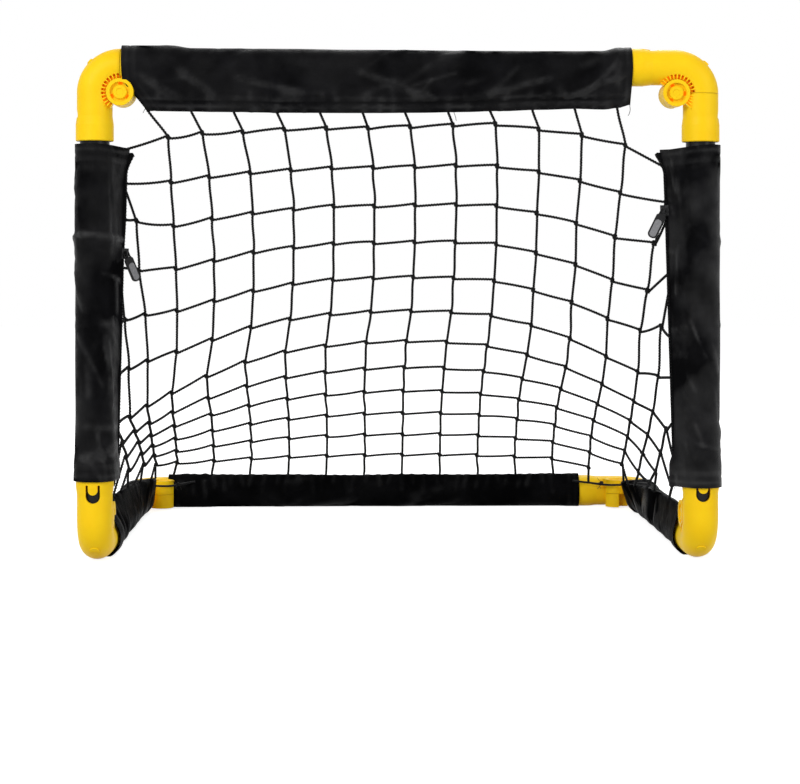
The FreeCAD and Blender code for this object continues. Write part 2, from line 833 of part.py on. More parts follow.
def zip_slider():
    """The slider, open towards the tape, with the bridge on its face that holds the pull."""
    half_width = slider_width / 2
    face = slider_thickness / 2
    half_long = slider_length / 2
    body = block((-half_width, half_width), (-face, face), (-half_long, half_long))
    long_edges = [edge for edge in body.Edges if edge.BoundBox.ZLength > half_long]
    body = body.makeFillet(slider_edge_radius, long_edges)
    half_bridge = bridge_length / 2
    half_bar = bridge_width / 2
    bridge = block(
        (-half_bar, half_bar),
        (face - bridge_root, face + bridge_height),
        (-half_bridge, half_bridge),
    )
    half_eye = half_bridge - bridge_leg
    eye = block((-half_bar, half_bar), (face, face + bridge_height - bridge_bar), (-half_eye, half_eye))
    gap = slider_clearance
    channel = Part.makeCylinder(zip_coil_diameter / 2 + gap, slider_length, Vector(0, 0, -half_long))
    half_slot = zip_tape_thickness / 2 + gap
    slot = block((-half_width, 0), (-half_slot, half_slot), (-half_long, half_long))
    return carved(joined([body, bridge]), [eye, channel, slot])


def rounded_plate(x_half, y_range, z_range, low_radius, high_radius):
    """A flat plate whose four outline corners are rounded."""
    plate = block((-x_half, x_half), y_range, z_range)
    middle = sum(z_range) / 2
    thickness = y_range[1] - y_range[0]
    upright = [edge for edge in plate.Edges if abs(edge.BoundBox.YLength - thickness) < 0.1]
    plate = plate.makeFillet(low_radius, [edge for edge in upright if edge.BoundBox.ZMax < middle])
    upright = [
        edge for edge in plate.Edges
        if abs(edge.BoundBox.YLength - thickness) < 0.1 and edge.BoundBox.ZMin > z_range[1] - 0.01
    ]
    return plate.makeFillet(high_radius, upright)


def zip_pull():
    """The pull with its wire ring, and its inset; the origin is the middle of the ring's pin."""
    outer = pull_ring_gap / 2 + pull_ring_bar
    front = pull_back + pull_thickness
    pin_half = outer - pull_ring_bar / 2
    pin = rod(pull_pin_diameter / 2, X * -pin_half, X * pin_half)
    collar_low = -pull_ring_reach - pull_collar_height
    half_bar = pull_ring_bar / 2
    eye = pull_eye_radius
    cheeks = [
        block((side - half_bar, side + half_bar), (-eye, eye), (collar_low, eye))
        for side in (half_bar - outer, outer - half_bar)
    ]
    collar = block((-outer, outer), (pull_back, front), (collar_low, -pull_ring_reach))
    tab_top = collar_low + pull_collar_height / 2
    tab = rounded_plate(
        pull_width / 2, (pull_back, front), (-pull_length, tab_top), pull_low_radius, pull_high_radius
    )
    inset_low = -pull_length + pull_inset_margin
    inset = rounded_plate(
        pull_width / 2 - pull_inset_margin,
        (pull_back - pull_inset_proud, front + pull_inset_proud),
        (inset_low, inset_low + pull_inset_length),
        pull_inset_radius,
        pull_inset_radius,
    )
    return joined([pin, collar, tab] + cheeks).cut(inset), inset


def make_zip(side, sign, lean, slider_height):
    """One post's zip: tape with its coil, slider, and pull with its inset."""
    line = zip_line(sign, post_flap_direction(sign, lean))
    start, inward, up, length = line
    exported("zip_tape_" + side, in_zip(line, zip_tape(line), 0))
    distance = (slider_height - start.z) / up.z
    pin = Vector(0, slider_thickness / 2 + (bridge_height - bridge_bar) / 2, 0)
    pull, inset = zip_pull()
    for name, shape, shift in (
        ("zip_slider_", zip_slider(), ORIGIN), ("zip_pull_", pull, pin), ("zip_pull_inset_", inset, pin)
    ):
        if shift.Length > 0:
            shape.rotate(ORIGIN, Y, -pull_tilt)
            shape.translate(shift)
        if sign < 0:
            shape = shape.mirror(ORIGIN, Y)
        exported(name + side, in_zip(line, shape, distance))
    hinge = start + up * distance + up.cross(inward) * (pin.y * sign)
    hinge_axis = leaning(inward, up, pull_tilt) * sign
    print("zip", side, "up", rounded(up), "pull hinge at", rounded(hinge), "along", rounded(hinge_axis))
    print("  slider travel up", round(length - slider_length / 2 - distance, 2), "down", round(distance, 2))


def rounded(vector):
    """A vector's three numbers, for the printed list."""
    return [round(value, 5) for value in vector]


# Net
# A panel of the net is a flat face with one hole for each gap, as thick as its cords.


def clipped(polygon, point, inward):
    """The part of a flat polygon on one side of a line; points are (u, v) pairs."""
    kept = []
    count = len(polygon)
    for number in range(count):
        here = polygon[number]
        after = polygon[(number + 1) % count]
        side_here = (here[0] - point[0]) * inward[0] + (here[1] - point[1]) * inward[1]
        side_after = (after[0] - point[0]) * inward[0] + (after[1] - point[1]) * inward[1]
        if side_here >= 0:
            kept.append(here)
        if side_here * side_after < 0:
            share = side_here / (side_here - side_after)
            kept.append(tuple(here[k] + share * (after[k] - here[k]) for k in (0, 1)))
    return kept


def area_of(polygon):
    """The area of a flat polygon."""
    total = 0.0
    for number, here in enumerate(polygon):
        after = polygon[(number + 1) % len(polygon)]
        total += here[0] * after[1] - here[1] * after[0]
    return abs(total) / 2


def inward_lines(outline):
    """Each side of a convex outline, listed anticlockwise, moved in by one cord."""
    lines = []
    for number, here in enumerate(outline):
        after = outline[(number + 1) % len(outline)]
        along = (after[0] - here[0], after[1] - here[1])
        length = math.hypot(*along)
        normal = (-along[1] / length, along[0] / length)
        point = (here[0] + normal[0] * cord_diameter, here[1] + normal[1] * cord_diameter)
        lines.append((point, normal))
    return lines


def net_gaps(columns, rows, lines_at):
    """The outlines of the gaps between the cords, each clipped by the panel's own edges."""
    half = cord_diameter / 2
    gaps = []
    for left, right in zip(columns, columns[1:]):
        for low, high in zip(rows, rows[1:]):
            gap = [
                (left + half, low + half), (right - half, low + half),
                (right - half, high - half), (left + half, high - half),
            ]
            for point, normal in lines_at((left + right) / 2):
                gap = clipped(gap, point, normal)
            if len(gap) > 2 and area_of(gap) > smallest_gap_area:
                gaps.append(gap)
    return gaps


def holed_panel(outline, gaps, origin, u_axis, v_axis):
    """A net panel: its outline with the gaps cut out, as thick as a cord."""

    def wire(points):
        corners_3d = [origin + u_axis * u + v_axis * v for u, v in points]
        return Part.makePolygon(corners_3d + corners_3d[:1])

    normal = u_axis.cross(v_axis)
    face = Part.makeFace([wire(outline)] + [wire(gap) for gap in gaps], "Part::FaceMakerBullseye")
    panel = face.extrude(normal * cord_diameter)
    panel.translate(normal * (-cord_diameter / 2))
    return panel


def even_steps(start, end, count):
    """Evenly spaced values, both ends included."""
    return [start + (end - start) * number / count for number in range(count + 1)]


def net_profile():
    """The net's side view, from the crossbar's hem down to the rear bar, as (y, z) points."""
    hem_z = crossbar_z - crossbar_hem_reach - net_hem_gap
    points = [(-tube_y, hem_z)]
    points += list(zip(net_fold_y, net_fold_z))
    points.append((tube_y - net_bottom_inset, base_z + net_bottom_rise))
    return points


def make_net_back():
    """The back of the net: three flat panels from the crossbar's hem to the rear bar."""
    profile = net_profile()
    panels = []
    gap_count = 0
    columns = even_steps(-net_half_width, net_half_width, net_column_count)
    for number, row_count in enumerate(net_rows):
        high = Vector(0, *profile[number])
        low = Vector(0, *profile[number + 1])
        down = (low - high).normalize()
        length = high.distanceToPoint(low)
        rows = even_steps(net_first_row if number == 0 else 0.0, length, row_count)
        if number == 0:
            rows = [0.0] + rows
            outline = [
                (-net_top_left, 0), (net_top_right, 0), (net_half_width, net_corner_drop),
                (net_half_width, length), (-net_half_width, length), (-net_half_width, net_corner_drop),
            ]
        else:
            half = net_half_width
            outline = [(-half, 0), (half, 0), (half, length), (-half, length)]
        lines = inward_lines(outline)
        gaps = net_gaps(columns, rows, lambda middle: lines)
        gap_count += len(gaps)
        panels.append(holed_panel(outline, gaps, high, X, down))
    print("net_back gaps", gap_count)
    exported("net_back", joined(panels))


def make_net_side(side, sign):
    """One side of the net, from the post and the side bar up to the edge of the back."""
    profile = net_profile()
    front = -tube_y + side_net_front
    bottom = side_net_bottom
    top_z = profile[0][1] + (front - profile[0][0]) * slope(profile[0], profile[1])
    low_front = front_pivot_z + side_net_low_front
    outline = [(front + side_net_corner, bottom), (profile[3][0], bottom), profile[2], profile[1]]
    outline += [(front, top_z), (front, low_front)]
    columns = [front]
    stops = [front, net_fold_y[0], net_fold_y[1], profile[3][0]]
    for number, count in enumerate(side_net_columns):
        columns += even_steps(stops[number], stops[number + 1], count)[1:]
    rows = [bottom + side_net_row * number for number in range(10)]

    def lines_at(middle):
        number = 0 if middle < net_fold_y[0] else 1 if middle < net_fold_y[1] else 2
        (y_a, z_a), (y_b, z_b) = profile[number], profile[number + 1]
        if number == 2:
            z_b = bottom
        under_slope = [(y_b, z_b), (y_a, z_a)]
        corner = [(front, low_front), (front + side_net_corner, bottom)]
        edges = []
        for (u_a, v_a), (u_b, v_b) in (under_slope, corner, ((front, bottom), (tube_y, bottom))):
            length = math.hypot(u_b - u_a, v_b - v_a)
            normal = (-(v_b - v_a) / length, (u_b - u_a) / length)
            edges.append(((u_a + normal[0] * cord_diameter, v_a + normal[1] * cord_diameter), normal))
        edges.append(((front + cord_diameter, 0), (1, 0)))
        return edges

    gaps = net_gaps(columns, rows, lines_at)
    print("net_side gaps", len(gaps))
    middle_x = sign * (net_half_width + side_net_gap + cord_diameter / 2)
    panel = holed_panel(outline, gaps, Vector(middle_x, 0, 0), Y, Z)
    exported("net_side_" + side, panel)


def slope(here, there):
    """Rise over run between two (y, z) points."""
    return (there[1] - here[1]) / (there[0] - here[0])


# Border cords


def cord_along(points, diameter):
    """A round cord along straight runs joined by tangent arcs."""
    edges = []
    start = points[0]
    for before, corner, after in zip(points, points[1:], points[2:]):
        arriving = (corner - before).normalize()
        leaving = (after - corner).normalize()
        shorter = min(before.distanceToPoint(corner), corner.distanceToPoint(after))
        trim = border_bend_share * shorter
        arc_start = corner - arriving * trim
        arc_end = corner + leaving * trim
        bisector = (leaving - arriving).normalize()
        half_turn = arriving.getAngle(leaving) / 2
        radius = trim / math.tan(half_turn)
        arc_middle = corner + bisector * (radius / math.cos(half_turn) - radius)
        edges.append(Part.makeLine(start, arc_start))
        edges.append(Part.Arc(arc_start, arc_middle, arc_end).toShape())
        print("  arc radius", round(radius, 1), "mm")
        start = arc_end
    edges.append(Part.makeLine(start, points[-1]))
    path = Part.Wire(edges)
    first_run = (points[1] - points[0]).normalize()
    circle = Part.Wire(Part.makeCircle(diameter / 2, points[0], first_run))
    cord = path.makePipeShell([circle], True, False)
    expected = path.Length * math.pi * diameter**2 / 4
    print("  cord volume", round(cord.Volume, 1), "of", round(expected, 1), "mm3")
    return cord


def make_border_cords():
    """The net's border cord where it crosses each rear elbow in the open."""
    for side, route in (("left", border_points_left), ("right", border_points_right)):
        pivot = corners["rear_" + side][0]
        line = [pivot + Vector(*point) for point in route]
        exported("border_cord_" + side, cord_along(line, cord_diameter))


os.makedirs("parts", exist_ok=True)
make_elbows()
make_tubes()
make_crossbar_sleeve()
for post_side, post_sign, post_lean, post_bottom, slider_drop in (
    ("left", -1, post_flap_left_angle, post_sleeve_bottom_left, slider_drop_left),
    ("right", 1, post_flap_right_angle, post_sleeve_bottom_right, slider_drop_right),
):
    make_post_sleeve(post_side, post_sign, post_lean, post_bottom)
    make_zip(post_side, post_sign, post_lean, top_pivot_z - slider_drop)
    make_side_sleeve(post_side, post_sign)
    make_net_side(post_side, post_sign)
make_rear_sleeve()
make_net_back()
make_border_cords()
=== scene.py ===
"""A folding net goal: six bars in satin sleeves, joined by hinged elbows, with a knotted cord net."""

import math
import random

import bpy
import numpy as np
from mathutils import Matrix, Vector


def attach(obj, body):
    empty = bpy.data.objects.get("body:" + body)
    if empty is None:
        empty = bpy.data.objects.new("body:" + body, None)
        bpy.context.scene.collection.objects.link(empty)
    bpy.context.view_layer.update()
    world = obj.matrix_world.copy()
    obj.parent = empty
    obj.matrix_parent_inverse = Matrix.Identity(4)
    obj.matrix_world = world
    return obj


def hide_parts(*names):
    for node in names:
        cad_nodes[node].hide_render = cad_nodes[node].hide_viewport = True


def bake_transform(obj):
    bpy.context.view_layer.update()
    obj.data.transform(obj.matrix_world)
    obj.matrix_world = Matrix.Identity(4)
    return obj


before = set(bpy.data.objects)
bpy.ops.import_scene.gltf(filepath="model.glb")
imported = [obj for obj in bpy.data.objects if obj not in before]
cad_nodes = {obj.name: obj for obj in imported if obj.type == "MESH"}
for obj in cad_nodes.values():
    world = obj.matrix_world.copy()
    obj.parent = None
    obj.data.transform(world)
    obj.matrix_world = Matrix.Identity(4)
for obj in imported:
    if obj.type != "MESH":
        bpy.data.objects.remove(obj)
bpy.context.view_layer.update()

# The room
# The goal stands on a pale studio floor in an even white room. Three soft lamps light it at a
# plain level, and the camera looks at it level, from a little above the middle of its net.
FLOOR_HALF = 6.0
FLOOR_GREY = 0.62
FLOOR_GLOW = 0.80
ROOM_LIGHT = 0.47
LAMPS = (
    ("lamp_left", (-1.5, -2.3, 1.5), (0, -0.1, 0.2), 1.3, 42),
    ("lamp_right", (1.9, -1.9, 1.0), (0, -0.1, 0.2), 1.1, 18),
    ("lamp_behind", (0.3, 1.6, 1.8), (0, 0, 0.2), 1.2, 20),
)
CAMERA_PLACE = (-0.0411, -1.960, 0.2552)
CAMERA_TURN = -0.024
CAMERA_LENS = 93.07
CAMERA_SHIFT_Y = -0.163

scene = bpy.context.scene
scene.view_settings.view_transform = "Standard"


def feed(node, feeds):
    """Sets a shader node's sockets to values, or links them to other nodes' outputs."""
    for socket, value in feeds.items():
        if isinstance(value, bpy.types.NodeSocket):
            node.id_data.links.new(value, node.inputs[socket])
        else:
            node.inputs[socket].default_value = value


def wired(tree, kind, feeds=None, **settings):
    """Adds a shader node with its settings and what its sockets get."""
    made = tree.nodes.new("ShaderNode" + kind)
    for setting, value in settings.items():
        setattr(made, setting, value)
    feed(made, feeds or {})
    return made


def combined(operation, first, second):
    """The sum, the product or the larger of two patterns."""
    return wired(first.id_data, "Math", {0: first, 1: second}, operation=operation).outputs[0]


def seen_directly(tree):
    """1 for rays from the camera, and for those that a glossy or clear surface sends on."""
    rays = wired(tree, "LightPath").outputs
    shiny = combined("MAXIMUM", rays["Is Camera Ray"], rays["Is Glossy Ray"])
    return combined("MAXIMUM", shiny, rays["Is Transmission Ray"])


def lit_or_shown(tree, lit, shown):
    """One shader for the rays that light the goal, and another for those that show the room."""
    parts = {0: seen_directly(tree), 1: lit.outputs[0], 2: shown.outputs[0]}
    return wired(tree, "MixShader", parts).outputs[0]


world = bpy.data.worlds.new("white_room")
scene.world = world
world.use_nodes = True
room = world.node_tree
room.nodes.clear()
lighting = wired(room, "Background", {"Color": (1, 1, 1, 1), "Strength": ROOM_LIGHT})
background = wired(room, "Background", {"Color": (1, 1, 1, 1), "Strength": 1.0})
wired(room, "OutputWorld", {"Surface": lit_or_shown(room, lighting, background)})

floor_mesh = bpy.data.meshes.new("studio_floor")
floor_corners = [(FLOOR_HALF * x, FLOOR_HALF * y, 0) for x, y in ((-1, -1), (1, -1), (1, 1), (-1, 1))]
floor_mesh.from_pydata(floor_corners, [], [(0, 1, 2, 3)])
floor = bpy.data.objects.new("studio_floor", floor_mesh)
scene.collection.objects.link(floor)
floor_finish = bpy.data.materials.new("pale_floor")
floor_finish.use_nodes = True
floor_tree = floor_finish.node_tree
floor_tree.nodes.clear()
paint = wired(floor_tree, "BsdfDiffuse", {"Color": (FLOOR_GREY, FLOOR_GREY, FLOOR_GREY, 1)})
glow = wired(floor_tree, "Emission", {"Color": (1, 1, 1, 1), "Strength": FLOOR_GLOW})
bright = wired(floor_tree, "AddShader", {0: paint.outputs[0], 1: glow.outputs[0]})
wired(floor_tree, "OutputMaterial", {"Surface": lit_or_shown(floor_tree, paint, bright)})
floor_mesh.materials.append(floor_finish)

for lamp_name, place, target, side, power in LAMPS:
    lamp_data = bpy.data.lights.new(lamp_name, "AREA")
    lamp_data.size = side
    lamp_data.energy = power
    lamp = bpy.data.objects.new(lamp_name, lamp_data)
    lamp.location = place
    lamp.rotation_euler = (Vector(target) - Vector(place)).to_track_quat("-Z", "Y").to_euler()
    scene.collection.objects.link(lamp)

camera_data = bpy.data.cameras.new("camera")
camera_data.lens = CAMERA_LENS
camera_data.sensor_width = 36
camera_data.sensor_fit = "HORIZONTAL"
camera_data.shift_y = CAMERA_SHIFT_Y
camera = bpy.data.objects.new("camera", camera_data)
camera.location = CAMERA_PLACE
camera.rotation_euler = (math.radians(90), 0, CAMERA_TURN)
scene.collection.objects.link(camera)
scene.camera = camera

# Elbows
# Six hinged elbows, each two mouldings of smooth yellow plastic that turn on a moulded pin, with
# a sprung button in the outer bend. They are pushed onto the tubes and snap into a hole.
YELLOW = (0.97, 0.64, 0.008, 1)
YELLOW_DEEP = (0.95, 0.59, 0.005, 1)
PLASTIC_ROUGHNESS = 0.45
PLASTIC_SHINE = 0.12
PLASTIC_EDGE = 0.00035
# Painted glow: an orange emission, strongest where ambient occlusion finds the deep slots, stands in for
# light that comes through the plastic.
PAINTED_GLOW_DEPTH = 0.03
PAINTED_SLOT_GLOW = 0.30
PAINTED_GLOW_ORANGE = (1.0, 0.16, 0.0, 1)
CORNERS = ("top_left", "top_right", "front_left", "front_right", "rear_left", "rear_right")


def new_finish(name, colour, roughness, specular, sheen=0.0):
    """A material with even values, its shader, and the place on the piece for its patterns."""
    material = bpy.data.materials.new(name)
    material.use_nodes = True
    shader = material.node_tree.nodes["Principled BSDF"]
    shader.inputs["Base Color"].default_value = colour
    shader.inputs["Roughness"].default_value = roughness
    shader.inputs["Specular IOR Level"].default_value = specular
    shader.inputs["Sheen Weight"].default_value = sheen
    return material, shader, wired(material.node_tree, "TexCoord").outputs["Object"]


def spread(value, low, high, low_out, high_out):
    """Maps a pattern's values from one range to another."""
    return wired(value.id_data, "MapRange", {
        "Value": value, "From Min": low, "From Max": high, "To Min": low_out, "To Max": high_out,
    }).outputs[0]


def cloudy(place, scale, detail=3.0, roughness=0.5):
    """Soft noise on a place vector."""
    return wired(place.id_data, "TexNoise", {
        "Vector": place, "Scale": scale, "Detail": detail, "Roughness": roughness,
    }).outputs["Fac"]


def patches(place, scale, low, high, detail=3.0, roughness=0.5):
    """Noise sharpened into patches, from 0 between them to 1 in them."""
    return spread(cloudy(place, scale, detail, roughness), low, high, 0.0, 1.0)


def two_tone(share, first, second):
    """Mixes two colours by a pattern."""
    return wired(share.id_data, "Mix", {0: share, 6: first, 7: second}, data_type="RGBA").outputs[2]


def bumped(height, strength, distance, normal=None):
    """Relief from a pattern, laid over another relief where one is given."""
    feeds = {"Height": height, "Strength": strength, "Distance": distance}
    if normal is not None:
        feeds["Normal"] = normal
    return wired(height.id_data, "Bump", feeds).outputs[0]


def moulded_plastic():
    """Yellow plastic with flow marks, a fine skin, rubbed edges, slightly rounded corners and a painted
    orange glow in its deep slots.
    """
    material, shader, place = new_finish("yellow_plastic", YELLOW, PLASTIC_ROUGHNESS, PLASTIC_SHINE)
    tree = material.node_tree
    worn = cloudy(place, 160.0, 4.0)
    corner = wired(tree, "Bevel", {"Radius": PLASTIC_EDGE}, samples=4).outputs[0]
    skin = bumped(cloudy(place, 2600.0, 2.0), 0.12, 0.00006, corner)
    slot_occlusion = wired(tree, "AmbientOcclusion", {"Distance": PAINTED_GLOW_DEPTH}, samples=6, only_local=True)
    feed(shader, {
        "Base Color": two_tone(patches(place, 26.0, 0.35, 0.7), YELLOW, YELLOW_DEEP),
        "Roughness": spread(worn, 0.3, 0.75, PLASTIC_ROUGHNESS - 0.05, PLASTIC_ROUGHNESS + 0.1),
        "Normal": bumped(cloudy(place, 55.0, 1.0), 0.25, 0.0004, skin),
        "Emission Color": PAINTED_GLOW_ORANGE,
        # Painted glow: orange emission where ambient occlusion finds deep slots.
        "Emission Strength": spread(slot_occlusion.outputs["AO"], 0.03, 0.38, PAINTED_SLOT_GLOW, 0.0),
        "Subsurface Weight": 0.08,
        "Subsurface Radius": (1.0, 0.45, 0.05),
        "Subsurface Scale": 0.0015,
    })
    return material


def dress(node_name, material):
    """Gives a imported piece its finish."""
    mesh = cad_nodes[node_name].data
    mesh.materials.clear()
    mesh.materials.append(material)


yellow = moulded_plastic()
for corner_name in CORNERS:
    for part_name in ("elbow_bend_", "elbow_socket_", "hinge_pin_", "release_button_"):
        dress(part_name + corner_name, yellow)

# Tubes
# Six steel tubes, 25 mm across, coated in satin black paint. They show only between the elbows'
# collars and the sleeves, and inside the sleeves' open ends.
PAINT_BLACK = (0.006, 0.006, 0.0065, 1)
PAINT_WORN = (0.014, 0.014, 0.015, 1)


def tube_paint():
    """Baked black paint with a faint orange-peel skin and rubbed streaks along the tube."""
    material, shader, place = new_finish("black_paint", PAINT_BLACK, 0.3, 0.15)
    streaks = patches(place, 90.0, 0.5, 0.8, 5.0)
    feed(shader, {
        "Base Color": two_tone(streaks, PAINT_BLACK, PAINT_WORN),
        "Roughness": spread(streaks, 0.0, 1.0, 0.27, 0.42),
        "Normal": bumped(cloudy(place, 900.0, 1.0), 0.15, 0.0001),
    })
    return material


black_paint = tube_paint()
TUBES = (
    "crossbar_tube", "rear_tube", "post_tube_left", "post_tube_right", "side_tube_left", "side_tube_right",
)
for tube_name in TUBES:
    dress(tube_name, black_paint)

# Crossbar sleeve
# One strip of black satin polyester, folded over the crossbar and sewn to itself along its lower
# edge, so that a flat hem hangs below the bar. Its ends are turned in and stitched.
BAR_Y = 0.2025
BAR_HIGH = 0.4205
PIVOT_X = 0.235
DOWN, BACK = (0, 0, -1), (0, 1, 0)
CLOTH = 0.0005
CLOTH_STEP = 0.0022
GIRTH = 0.12
GIRTH_COUNT = 62
BAR_POINTS = 40
ROUND_COLLAR = 0.0174
FLAP_HALF = 0.0012
FLAP_ROUND = 0.0004
FLAP_SPOTS = 20
SATIN = (0.0040, 0.0040, 0.0044, 1)
SATIN_LIT = (0.008, 0.008, 0.009, 1)
SATIN_ROUGHNESS = 0.42
FOLD_SHINE = 0.20
SOFT_SHINE = 0.07
WEAVE_PITCH = 0.00042
FOLD_FULL = 0.0008
FOLD_LENGTH = 0.05
FOLD_TAPER = 1.6
FOLD_FADE, FOLD_LEFT = 0.02, 0.25
HEM = 0.007
HEM_GROOVE, HEM_GROOVE_WIDTH = 0.00035, 0.0009
HEM_BANDS, HEM_BAND_WIDTH, HEM_BAND_LIT = (0.55, 1.45), 0.0013, 0.5
THREAD_BLACK = (0.0045, 0.0045, 0.0048, 1)
THREAD_RADIUS = 0.00026
THREAD_STEPS = 9
THREAD_DROOP = 0.6 / THREAD_STEPS
STITCH_PITCH = 0.0031
STITCH_LENGTH = 0.0021
STITCH_LIFT = 0.00022


def satin_cloth(name, dark, light, roughness):
    """Satin polyester: fine crossed threads, slubs, faint creases and rubbed lighter patches.
    Only its raised folds and soft patches shine, as far as the piece's own attributes say."""
    material, shader, place = new_finish(name, dark, roughness, 0.0)
    tree = material.node_tree
    on_cloth = wired(tree, "UVMap", uv_map="cloth").outputs[0]
    pattern = {"Vector": on_cloth, "Scale": 0.314 / WEAVE_PITCH, "Distortion": 0.6, "Detail": 1.0}
    warp = wired(tree, "TexWave", pattern, bands_direction="X").outputs["Fac"]
    weft = wired(tree, "TexWave", pattern, bands_direction="Y").outputs["Fac"]
    weave = bumped(combined("ADD", warp, weft), 0.5, 0.00007)
    raised = wired(tree, "Attribute", attribute_name="raised").outputs["Fac"]
    folds = combined("MULTIPLY", raised, spread(cloudy(place, 60.0), 0.38, 0.62, 0.2, 1.0))
    share = wired(tree, "Attribute", attribute_name="lit_share").outputs["Fac"]
    soft = combined("MULTIPLY", spread(cloudy(place, 22.0), 0.42, 0.66, 0.0, SOFT_SHINE), share)
    slubs = cloudy(place, 120.0, 4.0)
    feed(shader, {
        "Base Color": two_tone(patches(place, 34.0, 0.42, 0.72, 5.0, 0.6), dark, light),
        "Roughness": spread(slubs, 0.3, 0.7, roughness - 0.06, roughness + 0.1),
        "Specular IOR Level": combined("ADD", spread(folds, 0.0, 1.0, 0.0, FOLD_SHINE), soft),
        "Normal": bumped(cloudy(place, 210.0, 4.0, 0.55), 0.35, 0.0005, weave),
    })
    return material


def sewing_thread():
    """Twisted polyester thread."""
    material, shader, place = new_finish("sewing_thread", THREAD_BLACK, 0.6, 0.2, 0.03)
    feed(shader, {
        "Base Color": two_tone(patches(place, 300.0, 0.3, 0.7), THREAD_BLACK, SATIN_LIT),
        "Normal": bumped(cloudy(place, 4000.0, 1.0), 0.4, 0.00005),
    })
    return material


satin = satin_cloth("black_satin", SATIN, SATIN_LIT, SATIN_ROUGHNESS)
thread = sewing_thread()


def mesh_piece(name, points, faces, material, cloth_places=None):
    """A smooth-shaded piece from points and faces; cloth_places lays its thread pattern."""
    mesh = bpy.data.meshes.new(name)
    mesh.from_pydata([tuple(point) for point in points], [], [tuple(face) for face in faces])
    mesh.shade_smooth()
    mesh.materials.append(material)
    if cloth_places is not None:
        layer = mesh.uv_layers.new(name="cloth")
        layer.data.foreach_set("uv", np.asarray(cloth_places, np.float32).ravel())
    piece = bpy.data.objects.new(name, mesh)
    scene.collection.objects.link(piece)
    return piece


def unit(vector):
    """A vector of length 1."""
    return vector / max(np.linalg.norm(vector), 1e-12)


def turned(degrees, start, towards):
    """The direction that one axis takes when it turns towards another by some degrees."""
    angle = math.radians(degrees)
    return np.array(start) * math.cos(angle) + np.array(towards) * math.sin(angle)


def travelled(path):
    """How far along a path of points each of them lies."""
    return np.concatenate([[0], np.cumsum(np.linalg.norm(np.diff(path, axis=0), axis=1))])


def along_path(wanted, path, values):
    """The values that belong to a path's points, at wanted distances along it."""
    travel = travelled(path)
    return np.stack([np.interp(wanted, travel, column) for column in np.asarray(values).T], -1)


def section_line(reach, radius):
    """Places (out, across) round a sleeve, from its flap's front edge over the bar and back, and
    the way round."""
    reach = max(reach, radius + FLAP_HALF)
    half = min(FLAP_HALF, radius * 0.6)
    tip = math.hypot(reach, half)
    turn = math.acos(radius / tip) + math.atan2(half, reach)
    line = [(reach, -half)]
    for angle in np.linspace(-turn, turn - 2 * math.pi, BAR_POINTS):
        line.append((radius * math.cos(angle), radius * math.sin(angle)))
    line += [(reach, half), (reach + FLAP_ROUND, 0.0)]
    line = np.array(line + [line[0]])
    girth = travelled(line)[-1]
    return along_path(np.linspace(0, girth, GIRTH_COUNT, endpoint=False), line, line), girth


def smooth_between(stations, place):
    """Eases each number of the stations (place, numbers...) between its two neighbours."""
    places = [station[0] for station in stations]
    right = min(max(int(np.searchsorted(places, place)), 1), len(places) - 1)
    before, after = stations[right - 1], stations[right]
    share = min(max((place - before[0]) / (after[0] - before[0]), 0.0), 1.0)
    share = share * share * (3 - 2 * share)
    return [low + (high - low) * share for low, high in zip(before[1:], after[1:])]


def fold_heights(along, around, folds):
    """How far the cloth stands proud where soft folds cross it. A fold runs between two places
    (along, around), and has a width and a height."""
    height = np.zeros(along.shape)
    for along_a, around_a, along_b, around_b, width, rise in folds:
        run = np.array([along_b - along_a, around_b - around_a])
        length = max(float(np.hypot(*run)), 1e-6)
        direction = run / length
        ahead, aside = along - along_a, around - around_a
        on_line = ahead * direction[0] + aside * direction[1]
        off_line = ahead * direction[1] - aside * direction[0]
        past = np.maximum(np.maximum(-on_line, on_line - length), 0.0)
        height += rise * np.exp(-((off_line / width) ** 2) - (past / (FOLD_TAPER * width)) ** 2)
    return height


def loose_folds(seed, count, length, girth, slant, width, rise):
    """Folds at seeded random places on a sleeve, mostly at one slant to its length."""
    dice = random.Random(seed)
    folds = []
    for number in range(count):
        along, around = dice.uniform(0, length), dice.uniform(0, girth)
        angle = slant + dice.gauss(0, 0.22)
        run = dice.uniform(0.25, 1.0) * FOLD_LENGTH
        size = width * dice.uniform(0.6, 1.5)
        end = along + run * math.cos(angle), around + run * math.sin(angle)
        folds.append((along, around, *end, size, rise * dice.uniform(-0.9, 1.0)))
    return folds


def grid_faces(count, sides, close=False, ring=True):
    """Four-sided faces on rows of points that follow one another. Each row is a ring or a strip."""
    rows = count if close else count - 1
    columns = sides if ring else sides - 1
    rings, spots = np.meshgrid(np.arange(rows), np.arange(columns), indexing="ij")
    after, below = (spots + 1) % sides, (rings + 1) % count
    quads = [rings * sides + spots, rings * sides + after, below * sides + after, below * sides + spots]
    return np.stack(quads, -1).reshape(-1, 4)


